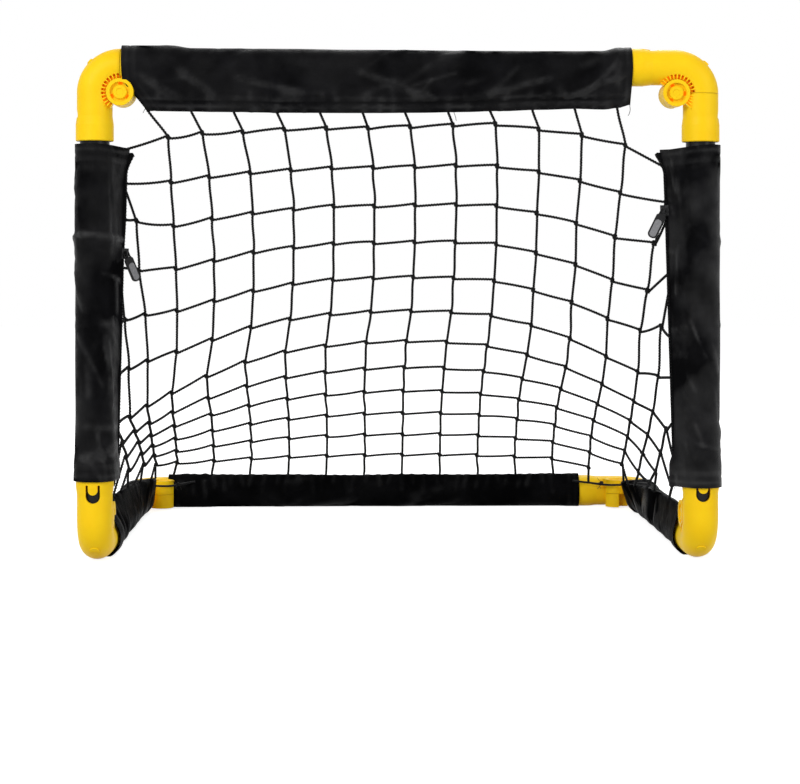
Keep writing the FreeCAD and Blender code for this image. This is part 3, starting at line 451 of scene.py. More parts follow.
def sewn_sleeve(name, start, along, stations, folds, ends, hem=HEM, low_limit=None,
                material=satin, lit_share=1.0):
    """A sewn cloth sleeve. stations are (distance, radius, flap reach, flap direction x, y, z).
    ends gives the cut line of both ends as functions of how far out along the flap a point is."""
    start, along = np.array(start), np.array(along)
    first, last = stations[0][0], stations[-1][0]
    ring_count = int((last - first) / CLOTH_STEP)
    share = np.linspace(0, 1, ring_count)
    grid = np.zeros((ring_count, GIRTH_COUNT, 3))
    outward = np.zeros_like(grid)
    places = np.zeros((ring_count, GIRTH_COUNT, 2))
    for ring in range(ring_count):
        radius, reach, *flap = smooth_between(stations, first + (last - first) * share[ring])
        flap = np.array(flap) / np.linalg.norm(flap)
        across = np.cross(along, flap)
        line, girth = section_line(reach, radius)
        low, high = ends[0](line[:, 0]), ends[1](line[:, 0])
        distance = low + (high - low) * share[ring]
        grid[ring] = start + along * distance[:, None] + flap * line[:, :1] + across * line[:, 1:]
        ahead = np.roll(line, -1, 0) - np.roll(line, 1, 0)
        normal = np.stack([-ahead[:, 1], ahead[:, 0]], 1)
        normal /= np.maximum(np.linalg.norm(normal, axis=1, keepdims=True), 1e-9)
        outward[ring] = flap * normal[:, :1] + across * normal[:, 1:]
        places[ring] = np.stack([distance, np.arange(GIRTH_COUNT) / GIRTH_COUNT * girth], 1)
    if np.sum((grid - grid.mean(axis=1, keepdims=True)) * outward) < 0:
        outward = -outward
    height = fold_heights(places[..., 0], places[..., 1], folds)
    raised = lit_share * np.clip(height / FOLD_FULL, 0.0, 1.0) ** 1.5
    edge = np.minimum(share, 1 - share)[:, None] * (last - first)
    height *= FOLD_LEFT + (1 - FOLD_LEFT) * np.clip(edge / FOLD_FADE, 0, 1)
    height -= HEM_GROOVE * np.exp(-(((edge - hem) / HEM_GROOVE_WIDTH) ** 2))
    for band in HEM_BANDS:
        raised += HEM_BAND_LIT * lit_share * np.exp(-(((edge - hem * band) / HEM_BAND_WIDTH) ** 2))
    grid += outward * height[..., None]
    if low_limit is not None:
        grid[..., 2] = np.maximum(grid[..., 2], low_limit)
    faces = grid_faces(ring_count, GIRTH_COUNT)
    flat = places.reshape(-1, 2)[faces]
    wrapped = faces[:, 0] % GIRTH_COUNT == GIRTH_COUNT - 1
    flat[wrapped, 1:3, 1] += girth
    piece = mesh_piece(name, grid.reshape(-1, 3), faces, material, flat)
    for attribute, values in (("raised", raised), ("lit_share", np.full(raised.shape, lit_share ** 2))):
        layer = piece.data.attributes.new(attribute, "FLOAT", "POINT")
        layer.data.foreach_set("value", values.reshape(-1).astype(np.float32))
    thick = piece.modifiers.new("thickness", "SOLIDIFY")
    thick.thickness = CLOTH
    thick.offset = -1
    return piece, grid, outward


def cord_piece(name, lines, radius, material, sides=6, lobes=0.0, twist=0.0, close=False):
    """Round cords swept along lines of points, as one piece."""
    points, faces = [], []
    offset = 0
    angles = np.arange(sides) / sides * 2 * math.pi
    size = radius * (1 + lobes * np.cos(angles * sides / 2))[None, :]
    for line in lines:
        line = np.asarray(line, float)
        count = len(line)
        ahead = np.roll(line, -1, 0) - np.roll(line, 1, 0) if close else np.gradient(line, axis=0)
        ahead /= np.maximum(np.linalg.norm(ahead, axis=1, keepdims=True), 1e-12)
        side = np.zeros_like(line)
        guide = np.array([0.31, 0.87, 0.38]) if abs(ahead[0][1]) < 0.8 else np.array([0.9, 0.1, 0.42])
        for number in range(count):
            guide = guide - ahead[number] * guide.dot(ahead[number])
            guide /= max(np.linalg.norm(guide), 1e-9)
            side[number] = guide
        up = np.cross(ahead, side)
        turn = angles[None, :] + (travelled(line)[:, None] * twist)
        ring = side[:, None] * (size * np.cos(turn))[..., None]
        ring = ring + up[:, None] * (size * np.sin(turn))[..., None]
        points.append((line[:, None] + ring).reshape(-1, 3))
        faces += (grid_faces(count, sides, close) + offset).tolist()
        if not close:
            faces.append([offset + spot for spot in range(sides)][::-1])
            faces.append([offset + (count - 1) * sides + spot for spot in range(sides)])
        offset += count * sides
    return mesh_piece(name, np.concatenate(points), faces, material)


def stitch_lines(path, outward):
    """Short stitches along a path of points on the cloth."""
    path, outward = np.asarray(path), np.asarray(outward)
    total = travelled(path)[-1]
    lines = []
    place = STITCH_PITCH / 2
    while place + STITCH_LENGTH < total:
        wanted = place + STITCH_LENGTH * np.array([0.0, 0.2, 0.5, 0.8, 1.0])
        rise = STITCH_LIFT * np.array([-1.6, 0.5, 1.0, 0.5, -1.6])
        lines.append(along_path(wanted, path, path) + along_path(wanted, path, outward) * rise[:, None])
        place += STITCH_PITCH
    return lines


def stitched(name, lines, body):
    """The stitches of one sleeve, which move with its body."""
    piece = cord_piece(name, lines, THREAD_RADIUS, thread, sides=5)
    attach(piece, body)


def loose_thread(start, direction, length, seed):
    """A line for a frayed thread end that curls down under its own weight."""
    dice = random.Random(seed)
    point = np.array(start, float)
    heading = unit(np.array(direction, float))
    line = [point]
    for number in range(THREAD_STEPS):
        curl = [dice.gauss(0, 0.22), dice.gauss(0, 0.22), dice.gauss(0, 0.22) - THREAD_DROOP]
        heading = unit(heading + np.array(curl))
        point = point + heading * length / THREAD_STEPS
        line.append(point)
    return line


def sleeve_rings(grid, outward, distance, length):
    """Rings of stitches at a distance from both ends of a sleeve."""
    lines = []
    closed = np.arange(GIRTH_COUNT + 1) % GIRTH_COUNT
    for share in (distance / length, 1 - distance / length):
        ring = int(round(share * (len(grid) - 1)))
        lines += stitch_lines(grid[ring, closed], outward[ring, closed])
    return lines


def hem_rows(grid, outward, drop):
    """Stitch lines on both faces of a flap, a little in from its edge."""
    lines = []
    for way in (1, -1):
        picked = way * np.arange(FLAP_SPOTS)
        path, out = [], []
        for spots, ways_out in zip(grid[2:-2, picked], outward[2:-2, picked]):
            path.append(along_path(drop, spots, spots))
            out.append(along_path(drop, spots, ways_out))
        lines += stitch_lines(path, out)
    return lines


def cut(place, slant=0.0, begin=0.0, over=0.03):
    """A sleeve's cut end: a place along its bar, and a slant over a stretch out along the flap."""
    return lambda out: place + slant * np.clip((out - begin) / over, 0, 1)


BAR_LENGTH = 2 * PIVOT_X
CROSSBAR_END = BAR_LENGTH - 0.0375
TIGHT_COLLAR = 0.0166
CROSSBAR_LIT = 0.85
HEM_START, HEM_STOP = 0.020, CROSSBAR_END - 0.008
PUCKER_TOP, PUCKER_WIDTH = 0.003, 0.0026


def crossbar_left_cut(out):
    """The left end slants away from the knob towards the hem."""
    drop = np.clip((out + 0.0175) / 0.0545, 0, 1)
    return 0.0008 + 0.0022 * drop + 0.0185 * np.clip((drop - 0.55) / 0.45, 0, 1)


# Along the bar: the cloth's radius, how far its hem hangs, and how far it leans back.
crossbar_plan = (
    (0.0008, ROUND_COLLAR, 0.0372, 0), (0.043, ROUND_COLLAR, 0.0376, -1), (0.060, 0.0152, 0.0380, -3),
    (0.140, 0.0148, 0.0384, 3), (0.195, 0.0142, 0.0387, -3), (0.240, 0.0140, 0.0382, 2),
    (0.278, 0.0137, 0.0377, -3), (0.315, 0.0135, 0.0367, 3), (0.350, 0.0134, 0.0356, -2),
    (0.385, 0.0134, 0.0345, 3), (0.408, 0.0137, 0.0353, -3), (0.423, TIGHT_COLLAR, 0.0336, 4),
    (CROSSBAR_END, TIGHT_COLLAR, 0.0312, 5),
)
crossbar_stations = [
    (distance, radius, reach, *turned(lean, DOWN, BACK)) for distance, radius, reach, lean in crossbar_plan
]
crossbar_folds = loose_folds(11, 70, CROSSBAR_END, GIRTH, 0.5, 0.0026, 0.0006)
crossbar_folds += [
    (0.020, 0.030, 0.048, 0.012, 0.004, 0.0011),
    (0.052, 0.034, 0.078, 0.014, 0.0035, 0.0012),
    (0.100, 0.030, 0.150, 0.018, 0.0030, 0.0011),
    (0.205, 0.034, 0.262, 0.012, 0.0032, 0.0010),
    (0.300, 0.012, 0.360, 0.026, 0.0030, 0.0011),
    (0.380, 0.010, 0.425, 0.030, 0.0024, 0.0012),
    (0.4202, 0.024, 0.4196, 0.042, 0.0024, 0.0010),
    (0.3994, 0.0185, 0.418, 0.039, 0.0020, 0.0010),
    (HEM_START, 0.0078, HEM_STOP, 0.0078, 0.0013, -0.0010),
    (HEM_START, 0.0045, HEM_STOP, 0.0045, 0.0018, 0.0009),
    (HEM_START, 0.0115, HEM_STOP, 0.0115, 0.0016, 0.0006),
]
hem_dice = random.Random(12)
pucker_at = 0.03
while pucker_at < CROSSBAR_END - 0.006:
    pucker = hem_dice.uniform(0.0004, 0.0009)
    end = pucker_at + hem_dice.uniform(-0.006, 0.006)
    reach_down = hem_dice.uniform(0.010, 0.018)
    crossbar_folds.append((pucker_at, PUCKER_TOP, end, reach_down, PUCKER_WIDTH, pucker))
    pucker_at += hem_dice.uniform(0.009, 0.020) * (0.6 if pucker_at > 0.36 else 1.0)
crossbar_cloth, crossbar_grid, crossbar_out = sewn_sleeve(
    "crossbar_sleeve_cloth", (-PIVOT_X, -BAR_Y, BAR_HIGH), (1, 0, 0), crossbar_stations, crossbar_folds,
    (crossbar_left_cut, cut(CROSSBAR_END)), lit_share=CROSSBAR_LIT,
)
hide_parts("crossbar_sleeve")
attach(crossbar_cloth, "front_frame")

crossbar_stitches = hem_rows(crossbar_grid, crossbar_out, HEM)
crossbar_stitches += sleeve_rings(crossbar_grid, crossbar_out, HEM, CROSSBAR_END)
for spot, lean, size, seed in (
    ((0.1965, -0.2040, 0.3895), (0.5, -0.1, -0.8), 0.011, 5),
    ((0.046, -0.2035, 0.3845), (0.4, -0.4, -0.8), 0.011, 6),
    ((-0.214, -0.2045, 0.3862), (-0.5, 0.0, -0.8), 0.006, 7),
):
    crossbar_stitches.append(loose_thread(spot, lean, size, seed))
stitched("crossbar_stitches", crossbar_stitches, "front_frame")

# Post sleeves
# A satin sleeve round each post. Its two edges meet in a flap on the inner side, where a zip closes
# it, so that it can be taken off. It is hemmed at both ends and sits in soft folds on the post.
BAR_X = 0.2575
PIVOT_LOW = 0.038
UP = (0, 0, 1)
ROUND_BAR = 0.0156
POST_LOW = {"left": 0.0320, "right": 0.0256}
POST_LIT = {"left": 1.0, "right": 1.5}
POST_TOP = 0.3165
POST_TOP_SLANT = {"left": 0.002, "right": 0.0035}
POST_HEM = 0.0085
POST_SEAM = 0.0035
POST_GIRTH = 0.11
FLAP_LOW, FLAP_HIGH = 0.024, 0.032
FLAP_LOW_AT, FLAP_HIGH_AT = 0.048, 0.315
ZIP_MARGIN = 0.0030
FLARE_AT, FLARE_OVER, FLAP_FLARE = 0.285, 0.030, 0.0050
FOOT_AT, FOOT_OVER = 0.062, 0.020
FOOT_REACH = {"left": 0.0245, "right": 0.0262}
CORNER_REACH = 0.021
CORNER_FRAY = 0.0035
FLAP_LEAN = {"left": 40, "right": 14}
SIDES = (("left", -1), ("right", 1))


def flap_reach(distance):
    """How far the zipped edge stands from the post's axis."""
    share = (distance - FLAP_LOW_AT) / (FLAP_HIGH_AT - FLAP_LOW_AT)
    return FLAP_LOW + share * (FLAP_HIGH - FLAP_LOW)


def cloth_reach(side, distance):
    """How far the sleeve's own flap reaches: over the tape, flared at its top, and to its foot."""
    flared = min(max((distance - FLARE_AT) / FLARE_OVER, 0.0), 1.0)
    low = min(max((FOOT_AT - distance) / FOOT_OVER, 0.0), 1.0)
    reach = flap_reach(distance) - ZIP_MARGIN + FLAP_FLARE * flared
    return reach + (FOOT_REACH[side] - reach) * low


def post_flap(side, sign):
    """The way a post sleeve's flap points: inward, leaning back."""
    return turned(FLAP_LEAN[side], (-sign, 0, 0), BACK)


# Along the post: the cloth's radius beyond the bar's. Then the single folds that show on each post.
POST_PLAN = (
    (0.058, 0.0008), (0.09, 0.0002), (0.15, 0.0006), (0.2, 0.0002), (0.228, 0.0004), (0.2345, 0.0011),
    (0.241, 0.0002), (0.285, 0.0004), (POST_TOP, 0.0007),
)
POST_FOLDS = {
    "left": (
        (0.236, 0.0, 0.240, 0.05, 0.0022, 0.0014), (0.240, 0.05, 0.233, 0.11, 0.0022, 0.0014),
        (0.060, 0.01, 0.052, 0.045, 0.0040, 0.0014), (0.10, 0.02, 0.15, 0.028, 0.004, 0.0011),
    ),
    "right": (
        (0.050, 0.02, 0.072, 0.052, 0.0045, 0.0014), (0.16, 0.015, 0.163, 0.05, 0.0025, 0.0007),
        (0.10, 0.035, 0.26, 0.032, 0.0040, 0.0008), (0.04, 0.03, 0.10, 0.022, 0.0040, 0.0010),
    ),
}
for side, sign in SIDES:
    flap = post_flap(side, sign)
    low = POST_LOW[side]
    plan = [(low, ROUND_COLLAR + 0.0001), (0.043, ROUND_COLLAR)]
    plan += [(distance, ROUND_BAR + extra) for distance, extra in POST_PLAN]
    stations = [(distance, radius, cloth_reach(side, distance), *flap) for distance, radius in plan]
    folds = loose_folds(21 + sign, 60, POST_TOP, POST_GIRTH, 0.2, 0.0024, 0.0008)
    folds += loose_folds(31 + sign, 20, POST_TOP, POST_GIRTH, 1.3, 0.0022, 0.0007)
    folds += POST_FOLDS[side]
    cloth, grid, out = sewn_sleeve(
        "post_sleeve_cloth_" + side, (sign * BAR_X, -BAR_Y, PIVOT_LOW), UP, stations, folds,
        (cut(low), cut(POST_TOP, -POST_TOP_SLANT[side], -0.01, 0.035)),
        hem=POST_HEM, lit_share=POST_LIT[side],
    )
    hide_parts("post_sleeve_" + side)
    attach(cloth, "front_frame")
    stitches = sleeve_rings(grid, out, POST_HEM, POST_TOP - low)
    stitches += hem_rows(grid, out, POST_SEAM)
    low_corner = np.array([sign * BAR_X, -BAR_Y, PIVOT_LOW + low]) + flap * CORNER_REACH
    for number in range(4):
        heading = (-sign * 1.0, -0.3, -0.2 - 0.3 * number)
        stitches.append(loose_thread(low_corner + (0, 0, 0.001 * number), heading, CORNER_FRAY, number))
    stitched("post_stitches_" + side, stitches, "front_frame")

# Zips
# A nylon coil zip closes each post sleeve: two woven tapes with a coil along each edge, a cast
# slider with a bridge on its face, and a moulded pull with a rubber inset.
PIVOT_HIGH = 0.398
ZIP_BLACK = (0.006, 0.006, 0.0065, 1)
METAL_BLACK = (0.010, 0.010, 0.011, 1)
METAL_WORN = (0.05, 0.05, 0.05, 1)
PULL_BLACK = (0.005, 0.005, 0.0055, 1)
INSET_GREY = (0.20, 0.20, 0.21, 1)
INSET_LIT = (0.27, 0.27, 0.28, 1)
TRIM_SHINE = 0.15
TOOTH_PITCH = 0.0014
TOOTH_LONG, TOOTH_WIDE, TOOTH_RISE = 0.00115, 0.00085, 0.0003
TOOTH_BEND = np.linspace(-2.5, 2.5, 9)[:, None]
SLIDER_HEIGHT = {"left": 0.262, "right": 0.299}
SLIDER_HALF = 0.0045
COLLAR_DROP = 0.041
ZIP_TOP_DROP = 0.0085
TAPE_WIDTH = 0.0078
TAPE_THICKNESS = 0.0004
TAPE_LIFT = 0.0005
TAPE_FLARE, TAPE_FLARE_LENGTH = 0.0085, 0.018
TAPE_TIP, TAPE_TIP_LENGTH = 0.0035, 0.003
TAPE_ROWS, TAPE_COLUMNS = 120, 5
COIL_INSET = 0.0012
COIL_RADIUS = 0.00033
COIL_SHUT, COIL_OPEN, COIL_OPENING = 0.00035, 0.0019, 0.03
zip_cloth = satin_cloth("zip_tape", ZIP_BLACK, SATIN_LIT, 0.6)


def hard_finish(name, colour, worn, roughness, metallic=0.0, scale=700.0):
    """A hard trim finish: fine grain, with the high spots rubbed."""
    material, shader, place = new_finish(name, colour, roughness, TRIM_SHINE)
    rubbed = patches(place, scale, 0.45, 0.75, 4.0)
    corner = wired(material.node_tree, "Bevel", {"Radius": 0.0002}, samples=4).outputs[0]
    feed(shader, {
        "Base Color": two_tone(rubbed, colour, worn),
        "Metallic": metallic,
        "Roughness": spread(rubbed, 0.0, 1.0, roughness, roughness + 0.15),
        "Normal": bumped(cloudy(place, scale * 4, 2.0), 0.2, 0.00005, corner),
    })
    return material


coil_nylon = hard_finish("coil_nylon", ZIP_BLACK, SATIN_LIT, 0.5)
slider_metal = hard_finish("slider_metal", METAL_BLACK, METAL_WORN, 0.35, 0.3)
pull_plastic = hard_finish("pull_plastic", PULL_BLACK, PAINT_WORN, 0.4)
inset_rubber = hard_finish("inset_rubber", INSET_GREY, INSET_LIT, 0.6, scale=900.0)


def opening(past_slider):
    """Half the gap between the two coils: shut below the slider, open above it."""
    return COIL_SHUT + COIL_OPEN * np.clip(past_slider / COIL_OPENING, 0, 1)


def tape_flare(past_end):
    """How far the tape's loose top end stands out from the line of the zip."""
    tip = np.clip(past_end / TAPE_TIP_LENGTH + 1, 0, 1)
    loose_end = np.clip((past_end + TAPE_FLARE_LENGTH) / TAPE_FLARE_LENGTH, 0, 1)
    return TAPE_FLARE * loose_end ** 1.5 - TAPE_TIP * tip ** 2


for side, sign in SIDES:
    flap = post_flap(side, sign)
    foot = np.array([sign * BAR_X, -BAR_Y, PIVOT_LOW])
    across = np.cross(UP, flap)
    bottom = foot + flap * FLAP_LOW + np.array([0, 0, FLAP_LOW_AT])
    top = foot + flap * FLAP_HIGH
    top[2] = PIVOT_HIGH - COLLAR_DROP - ZIP_TOP_DROP
    length = float(np.linalg.norm(top - bottom))
    up = (top - bottom) / length
    slider_at = (SLIDER_HEIGHT[side] - bottom[2]) / up[2]
    rows = length * np.arange(TAPE_ROWS + 1) / TAPE_ROWS
    columns = np.arange(TAPE_COLUMNS + 1) / TAPE_COLUMNS
    distance, share = np.meshgrid(rows, columns, indexing="ij")
    inward = -TAPE_WIDTH * (1 - share) + tape_flare(distance - length)
    apart = TAPE_LIFT + (opening(distance - slider_at) - TAPE_LIFT) * share ** 1.5
    middle = bottom + up * distance[..., None] + flap * inward[..., None]
    halves = np.stack([middle + across * way * apart[..., None] for way in (-1, 1)])
    faces = grid_faces(TAPE_ROWS + 1, TAPE_COLUMNS + 1, ring=False)
    flat = np.stack([distance, TAPE_WIDTH * share], -1).reshape(-1, 2)[faces]
    faces = np.concatenate([faces, faces + distance.size])
    tape_name = "zip_tape_cloth_" + side
    tape = mesh_piece(tape_name, halves.reshape(-1, 3), faces, zip_cloth, np.stack([flat, flat]))
    tape_thickness = tape.modifiers.new("thickness", "SOLIDIFY")
    tape_thickness.thickness = TAPE_THICKNESS
    tape_thickness.offset = 0
    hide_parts("zip_tape_" + side)
    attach(tape, "front_frame")

    teeth = []
    for number in range(int(length / TOOTH_PITCH)):
        distance = (number + 0.5) * TOOTH_PITCH
        if abs(distance - slider_at) < SLIDER_HALF:
            continue
        face_side = -1 if number % 2 else 1
        centre = bottom + up * distance + across * face_side * opening(distance - slider_at)
        centre = centre + flap * (tape_flare(distance - length) - COIL_INSET)
        ahead, aside = np.cos(TOOTH_BEND), np.sin(TOOTH_BEND)
        loop = centre + flap * TOOTH_LONG * ahead + across * face_side * TOOTH_RISE
        teeth.append(loop + across * TOOTH_WIDE * aside + up * TOOTH_RISE * aside)
    coil = cord_piece("zip_coil_" + side, teeth, COIL_RADIUS, coil_nylon, sides=5)
    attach(coil, "front_frame")
    dress("zip_slider_" + side, slider_metal)
    dress("zip_pull_" + side, pull_plastic)
    dress("zip_pull_inset_" + side, inset_rubber)

# Side sleeves
# Each side bar's satin sleeve lies on the floor, and its seam stands up on the inner side as a
# ridge that holds the net's border cord. The cloth is loose, and the net pulls it into folds.
BAR_LOW = 0.0155
PIVOT_Y = 0.180
SIDE_FRONT = 0.015
SIDE_END = 2 * PIVOT_Y - 0.030
RIDGE_REACH = 0.0282
SIDE_SEAM = 0.0045
FLOOR_GAP = 0.0005
SIDE_FRONT_SLANT, SIDE_END_SLANT = 0.0045, 0.012
SIDE_LIT = 0.25
# Painted shade: a darker copy of the black satin, for the side and rear sleeves that lie low on the floor.
SATIN_PAINTED_SHADE = (0.0020, 0.0020, 0.0022, 1)
SATIN_PAINTED_SHADE_PATCH = (0.0050, 0.0050, 0.0055, 1)
satin_painted_shade = satin_cloth("black_satin_painted_shade", SATIN_PAINTED_SHADE, SATIN_PAINTED_SHADE_PATCH, SATIN_ROUGHNESS)


def side_ridge(side, sign, distance):
    """The way a side sleeve's ridge points at a distance from the front: inward, turned up."""
    return turned(smooth_between(RIDGE_ANGLES[side], distance)[0], (-sign, 0, 0), UP)


# How far up the ridge turns, along each sleeve from its front: the net lifts it most at the front.
RIDGE_ANGLES = {
    "left": (
        (0.015, 84.0), (0.08, 84.0), (0.13, 81.0), (0.18, 76.0), (0.23, 68.0), (0.28, 52.0), (0.34, 45.0),
    ),
    "right": (
        (0.015, 70.0), (0.08, 67.0), (0.15, 61.0), (0.20, 53.0), (0.24, 44.0), (0.29, 36.0), (0.34, 34.0),
    ),
}

for side, sign in SIDES:
    plan = (
        (SIDE_FRONT, ROUND_COLLAR, 0.0), (0.035, ROUND_COLLAR, 0.0), (0.050, ROUND_BAR, 0.0),
        (0.090, ROUND_BAR, -0.0006), (0.125, ROUND_BAR, 0.0), (0.160, ROUND_BAR, -0.0005),
        (0.200, ROUND_BAR, 0.0), (0.235, ROUND_BAR, -0.0006), (0.270, ROUND_BAR, 0.0),
        (0.302, ROUND_BAR, -0.0004), (0.317, ROUND_COLLAR, 0.0), (SIDE_END, ROUND_COLLAR, -0.001),
    )
    stations = []
    for distance, radius, extra in plan:
        stations.append((distance, radius, RIDGE_REACH + extra, *side_ridge(side, sign, distance)))
    folds = loose_folds(51 + sign, 60, SIDE_END, GIRTH, 1.1, 0.0038, 0.0009)
    # The side sleeves take the satin copy with painted shade.
    cloth, grid, out = sewn_sleeve(
        "side_sleeve_cloth_" + side, (sign * BAR_X, -PIVOT_Y, BAR_LOW), BACK, stations, folds,
        (cut(SIDE_FRONT, SIDE_FRONT_SLANT), cut(SIDE_END, -SIDE_END_SLANT)),
        low_limit=FLOOR_GAP, lit_share=SIDE_LIT, material=satin_painted_shade,
    )
    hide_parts("side_sleeve_" + side)
    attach(cloth, "base_frame")
    stitches = sleeve_rings(grid, out, HEM, SIDE_END - SIDE_FRONT)
    stitches += hem_rows(grid, out, SIDE_SEAM)
    stitched("side_stitches_" + side, stitches, "base_frame")

# Rear sleeve
# The rear bar's sleeve is gathered along the top, where the net's border cord is sewn in, so that
# its seam puckers. It hangs slack to the floor between the two elbows.
FRONT = (0, -1, 0)
REAR_START = 0.005
REAR_END = BAR_LENGTH - 0.038
REAR_RIDGE = 0.0182
REAR_SEAM = 0.0025
REAR_LIT = 0.3
REAR_GIRTH = 2 * math.pi * ROUND_BAR
GATHER_TOP, GATHER_WIDTH = 0.002, 0.0022
# Along the bar: the cloth's radius, how much further its ridge stands up, and how far it leans to
# the front.
rear_plan = (
    (REAR_START, ROUND_COLLAR, 0.0, 20), (0.043, ROUND_COLLAR, 0.0, 20), (0.058, ROUND_BAR, 0.0, 20),
    (0.13, ROUND_BAR, 0.0, 19), (0.195, ROUND_BAR, -0.0007, 21), (0.25, ROUND_BAR, 0.0, 20),
    (0.31, ROUND_BAR, -0.0006, 19), (0.408, ROUND_BAR, 0.0, 20), (0.426, ROUND_COLLAR, 0.0, 20),
    (REAR_END, ROUND_COLLAR, 0.0, 20),
)
rear_stations = []
for distance, radius, extra, lean in rear_plan:
    rear_stations.append((distance, radius, REAR_RIDGE + extra, *turned(lean, UP, FRONT)))
rear_folds = loose_folds(71, 46, REAR_END, GIRTH, 0.2, 0.0045, 0.0009)
pucker_dice = random.Random(72)
pucker_at = 0.02
while pucker_at < REAR_END - 0.02:
    reach_down = pucker_dice.uniform(0.006, 0.018)
    rise = pucker_dice.uniform(0.0005, 0.0011)
    end = pucker_at + pucker_dice.uniform(-0.004, 0.004)
    rear_folds.append((pucker_at, GATHER_TOP, end, reach_down, GATHER_WIDTH, rise))
    rear_folds.append((pucker_at, REAR_GIRTH, end, REAR_GIRTH - reach_down, GATHER_WIDTH, rise))
    pucker_at += pucker_dice.uniform(0.008, 0.014)
# The rear sleeve takes the satin copy with painted shade.
rear_cloth, rear_grid, rear_out = sewn_sleeve(
    "rear_sleeve_cloth", (-PIVOT_X, BAR_Y, BAR_LOW), (1, 0, 0), rear_stations, rear_folds,
    (cut(REAR_START), cut(REAR_END)),
    low_limit=FLOOR_GAP, lit_share=REAR_LIT, material=satin_painted_shade,
)
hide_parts("rear_sleeve")
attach(rear_cloth, "base_frame")
rear_stitches = sleeve_rings(rear_grid, rear_out, HEM, REAR_END - REAR_START)
rear_stitches += hem_rows(rear_grid, rear_out, REAR_SEAM)
stitched("rear_stitches", rear_stitches, "base_frame")

# Net
# One square-mesh net of braided black cord, knotted at every crossing. Its edge is sewn into the
# crossbar's hem, the posts' zipped flaps and the ridges of the side and rear sleeves.
COLUMNS, ROWS = 18, 14
CORD_RADIUS = 0.00120
HANG_LENGTH = 0.0417
CROSS_LENGTH = 0.0350
CROSS_GROWTH = 0.00028
MESH_LENGTH = 0.038
HEM_EDGE = 0.3850
HEM_MIDDLE, HEM_PITCH = 0.0044, 0.0364
REAR_MIDDLE, REAR_PITCH = 0.0123, 0.0394
REAR_EDGE_Y, REAR_EDGE_Z = 0.1885, 0.0345
NET_WEIGHT = 0.3e-5
NET_STEPS, NET_SWEEPS = 280, 80
NET_DRAG, NET_HURRY = 0.96, 1.7
CORD_STIFF_FROM, CORD_STIFFNESS = 0.9, 0.25
NET_WIDEST, NET_WRAP = 0.236, 1.2
NET_DIP = 0.035
SEAM_DEPTH = 0.0025
CORNER_FOOT = (0.2060, 0.1825, 0.0262)
FIRST_LENGTHS = {
    3: 0.030, 4: 0.026, 5: 0.024, 6: 0.022, 7: 0.021, 8: 0.0205,
    9: 0.019, 10: 0.0167, 11: 0.015, 12: 0.0195, 13: 0.0235, 14: 0.031,
}
ROWS_OF = {0: (8, 10), 1: (5, 11), 2: (3, 12), 15: (3, 11), 16: (5, 10), 17: (7, 10)}
# Cords that are sewn in, by side and by what holds them: the knot each comes from (column, row), its
# height on the flap or how far back on the ridge it ends, and its length.
SEWN = {
    ("left", "flap"): (
        (3, 1, 0.351, 0.050), (3, 2, 0.322, 0.046), (2, 3, 0.322, 0.042), (2, 3, 0.292, MESH_LENGTH),
        (2, 4, 0.250, MESH_LENGTH), (1, 5, 0.240, 0.044), (1, 5, 0.200, 0.036),
        (1, 6, 0.158, MESH_LENGTH), (1, 7, 0.116, MESH_LENGTH), (0, 8, 0.112, 0.045),
    ),
    ("left", "ridge"): (
        (0, 9, -0.094, MESH_LENGTH), (0, 10, -0.045, 0.030), (0, 10, -0.006, 0.030),
        (1, 11, 0.030, 0.030), (1, 11, 0.063, 0.026), (2, 12, 0.110, 0.030), (2, 12, 0.138, 0.018),
    ),
    ("right", "flap"): (
        (14, 1, 0.335, MESH_LENGTH), (14, 2, 0.306, 0.042), (15, 3, 0.312, 0.046),
        (15, 3, 0.294, MESH_LENGTH), (15, 4, 0.246, 0.040), (16, 5, 0.236, 0.046),
        (16, 5, 0.190, 0.042), (16, 6, 0.156, 0.042), (17, 7, 0.119, 0.034), (17, 7, 0.083, 0.050),
    ),
    ("right", "ridge"): (
        (17, 9, -0.025, MESH_LENGTH), (17, 10, 0.010, 0.024), (16, 10, 0.062, 0.040),
        (15, 11, 0.092, 0.030), (15, 11, 0.122, 0.028),
    ),
}
# One more knot on each side, low at the front, where the edge cord leaves the flap's corner.
EDGE_KNOTS = {
    "left": ((-0.2515, -0.140, 0.071), (0, 8), 0.038, ("flap", 0.078, 0.034), ("ridge", -0.131, 0.028)),
    "right": ((0.2334, -0.130, 0.058), (17, 8), 0.040, ("flap", 0.076, 0.044), ("ridge", -0.100, 0.033)),
}


def sewn_spot(side, kind, at):
    """Where a cord is sewn in: a height on a post's flap, or a place along a side sleeve's ridge."""
    sign = dict(SIDES)[side]
    if kind == "flap":
        reach = flap_reach(at - PIVOT_LOW) - SEAM_DEPTH
        return np.array([sign * BAR_X, -BAR_Y, at]) + post_flap(side, sign) * reach
    return np.array([sign * BAR_X, at, BAR_LOW]) + side_ridge(side, sign, at + PIVOT_Y) * RIDGE_REACH


def knot_start(column, row):
    """Where a knot is before the net settles, on its way from the hem down to the rear bar."""
    share = row / (ROWS - 1)
    hem = HEM_MIDDLE + HEM_PITCH * (column - 9)
    rear = REAR_MIDDLE + REAR_PITCH * (column - 9)
    x = hem + (rear - hem) * share
    depth = -BAR_Y + (REAR_EDGE_Y + BAR_Y) * share
    height = HEM_EDGE + (REAR_EDGE_Z - HEM_EDGE) * share - NET_DIP * math.sin(math.pi * share)
    if abs(x) > NET_WIDEST:
        depth -= (abs(x) - NET_WIDEST) * NET_WRAP
        x = math.copysign(NET_WIDEST, x)
    return np.array([x, depth, height])


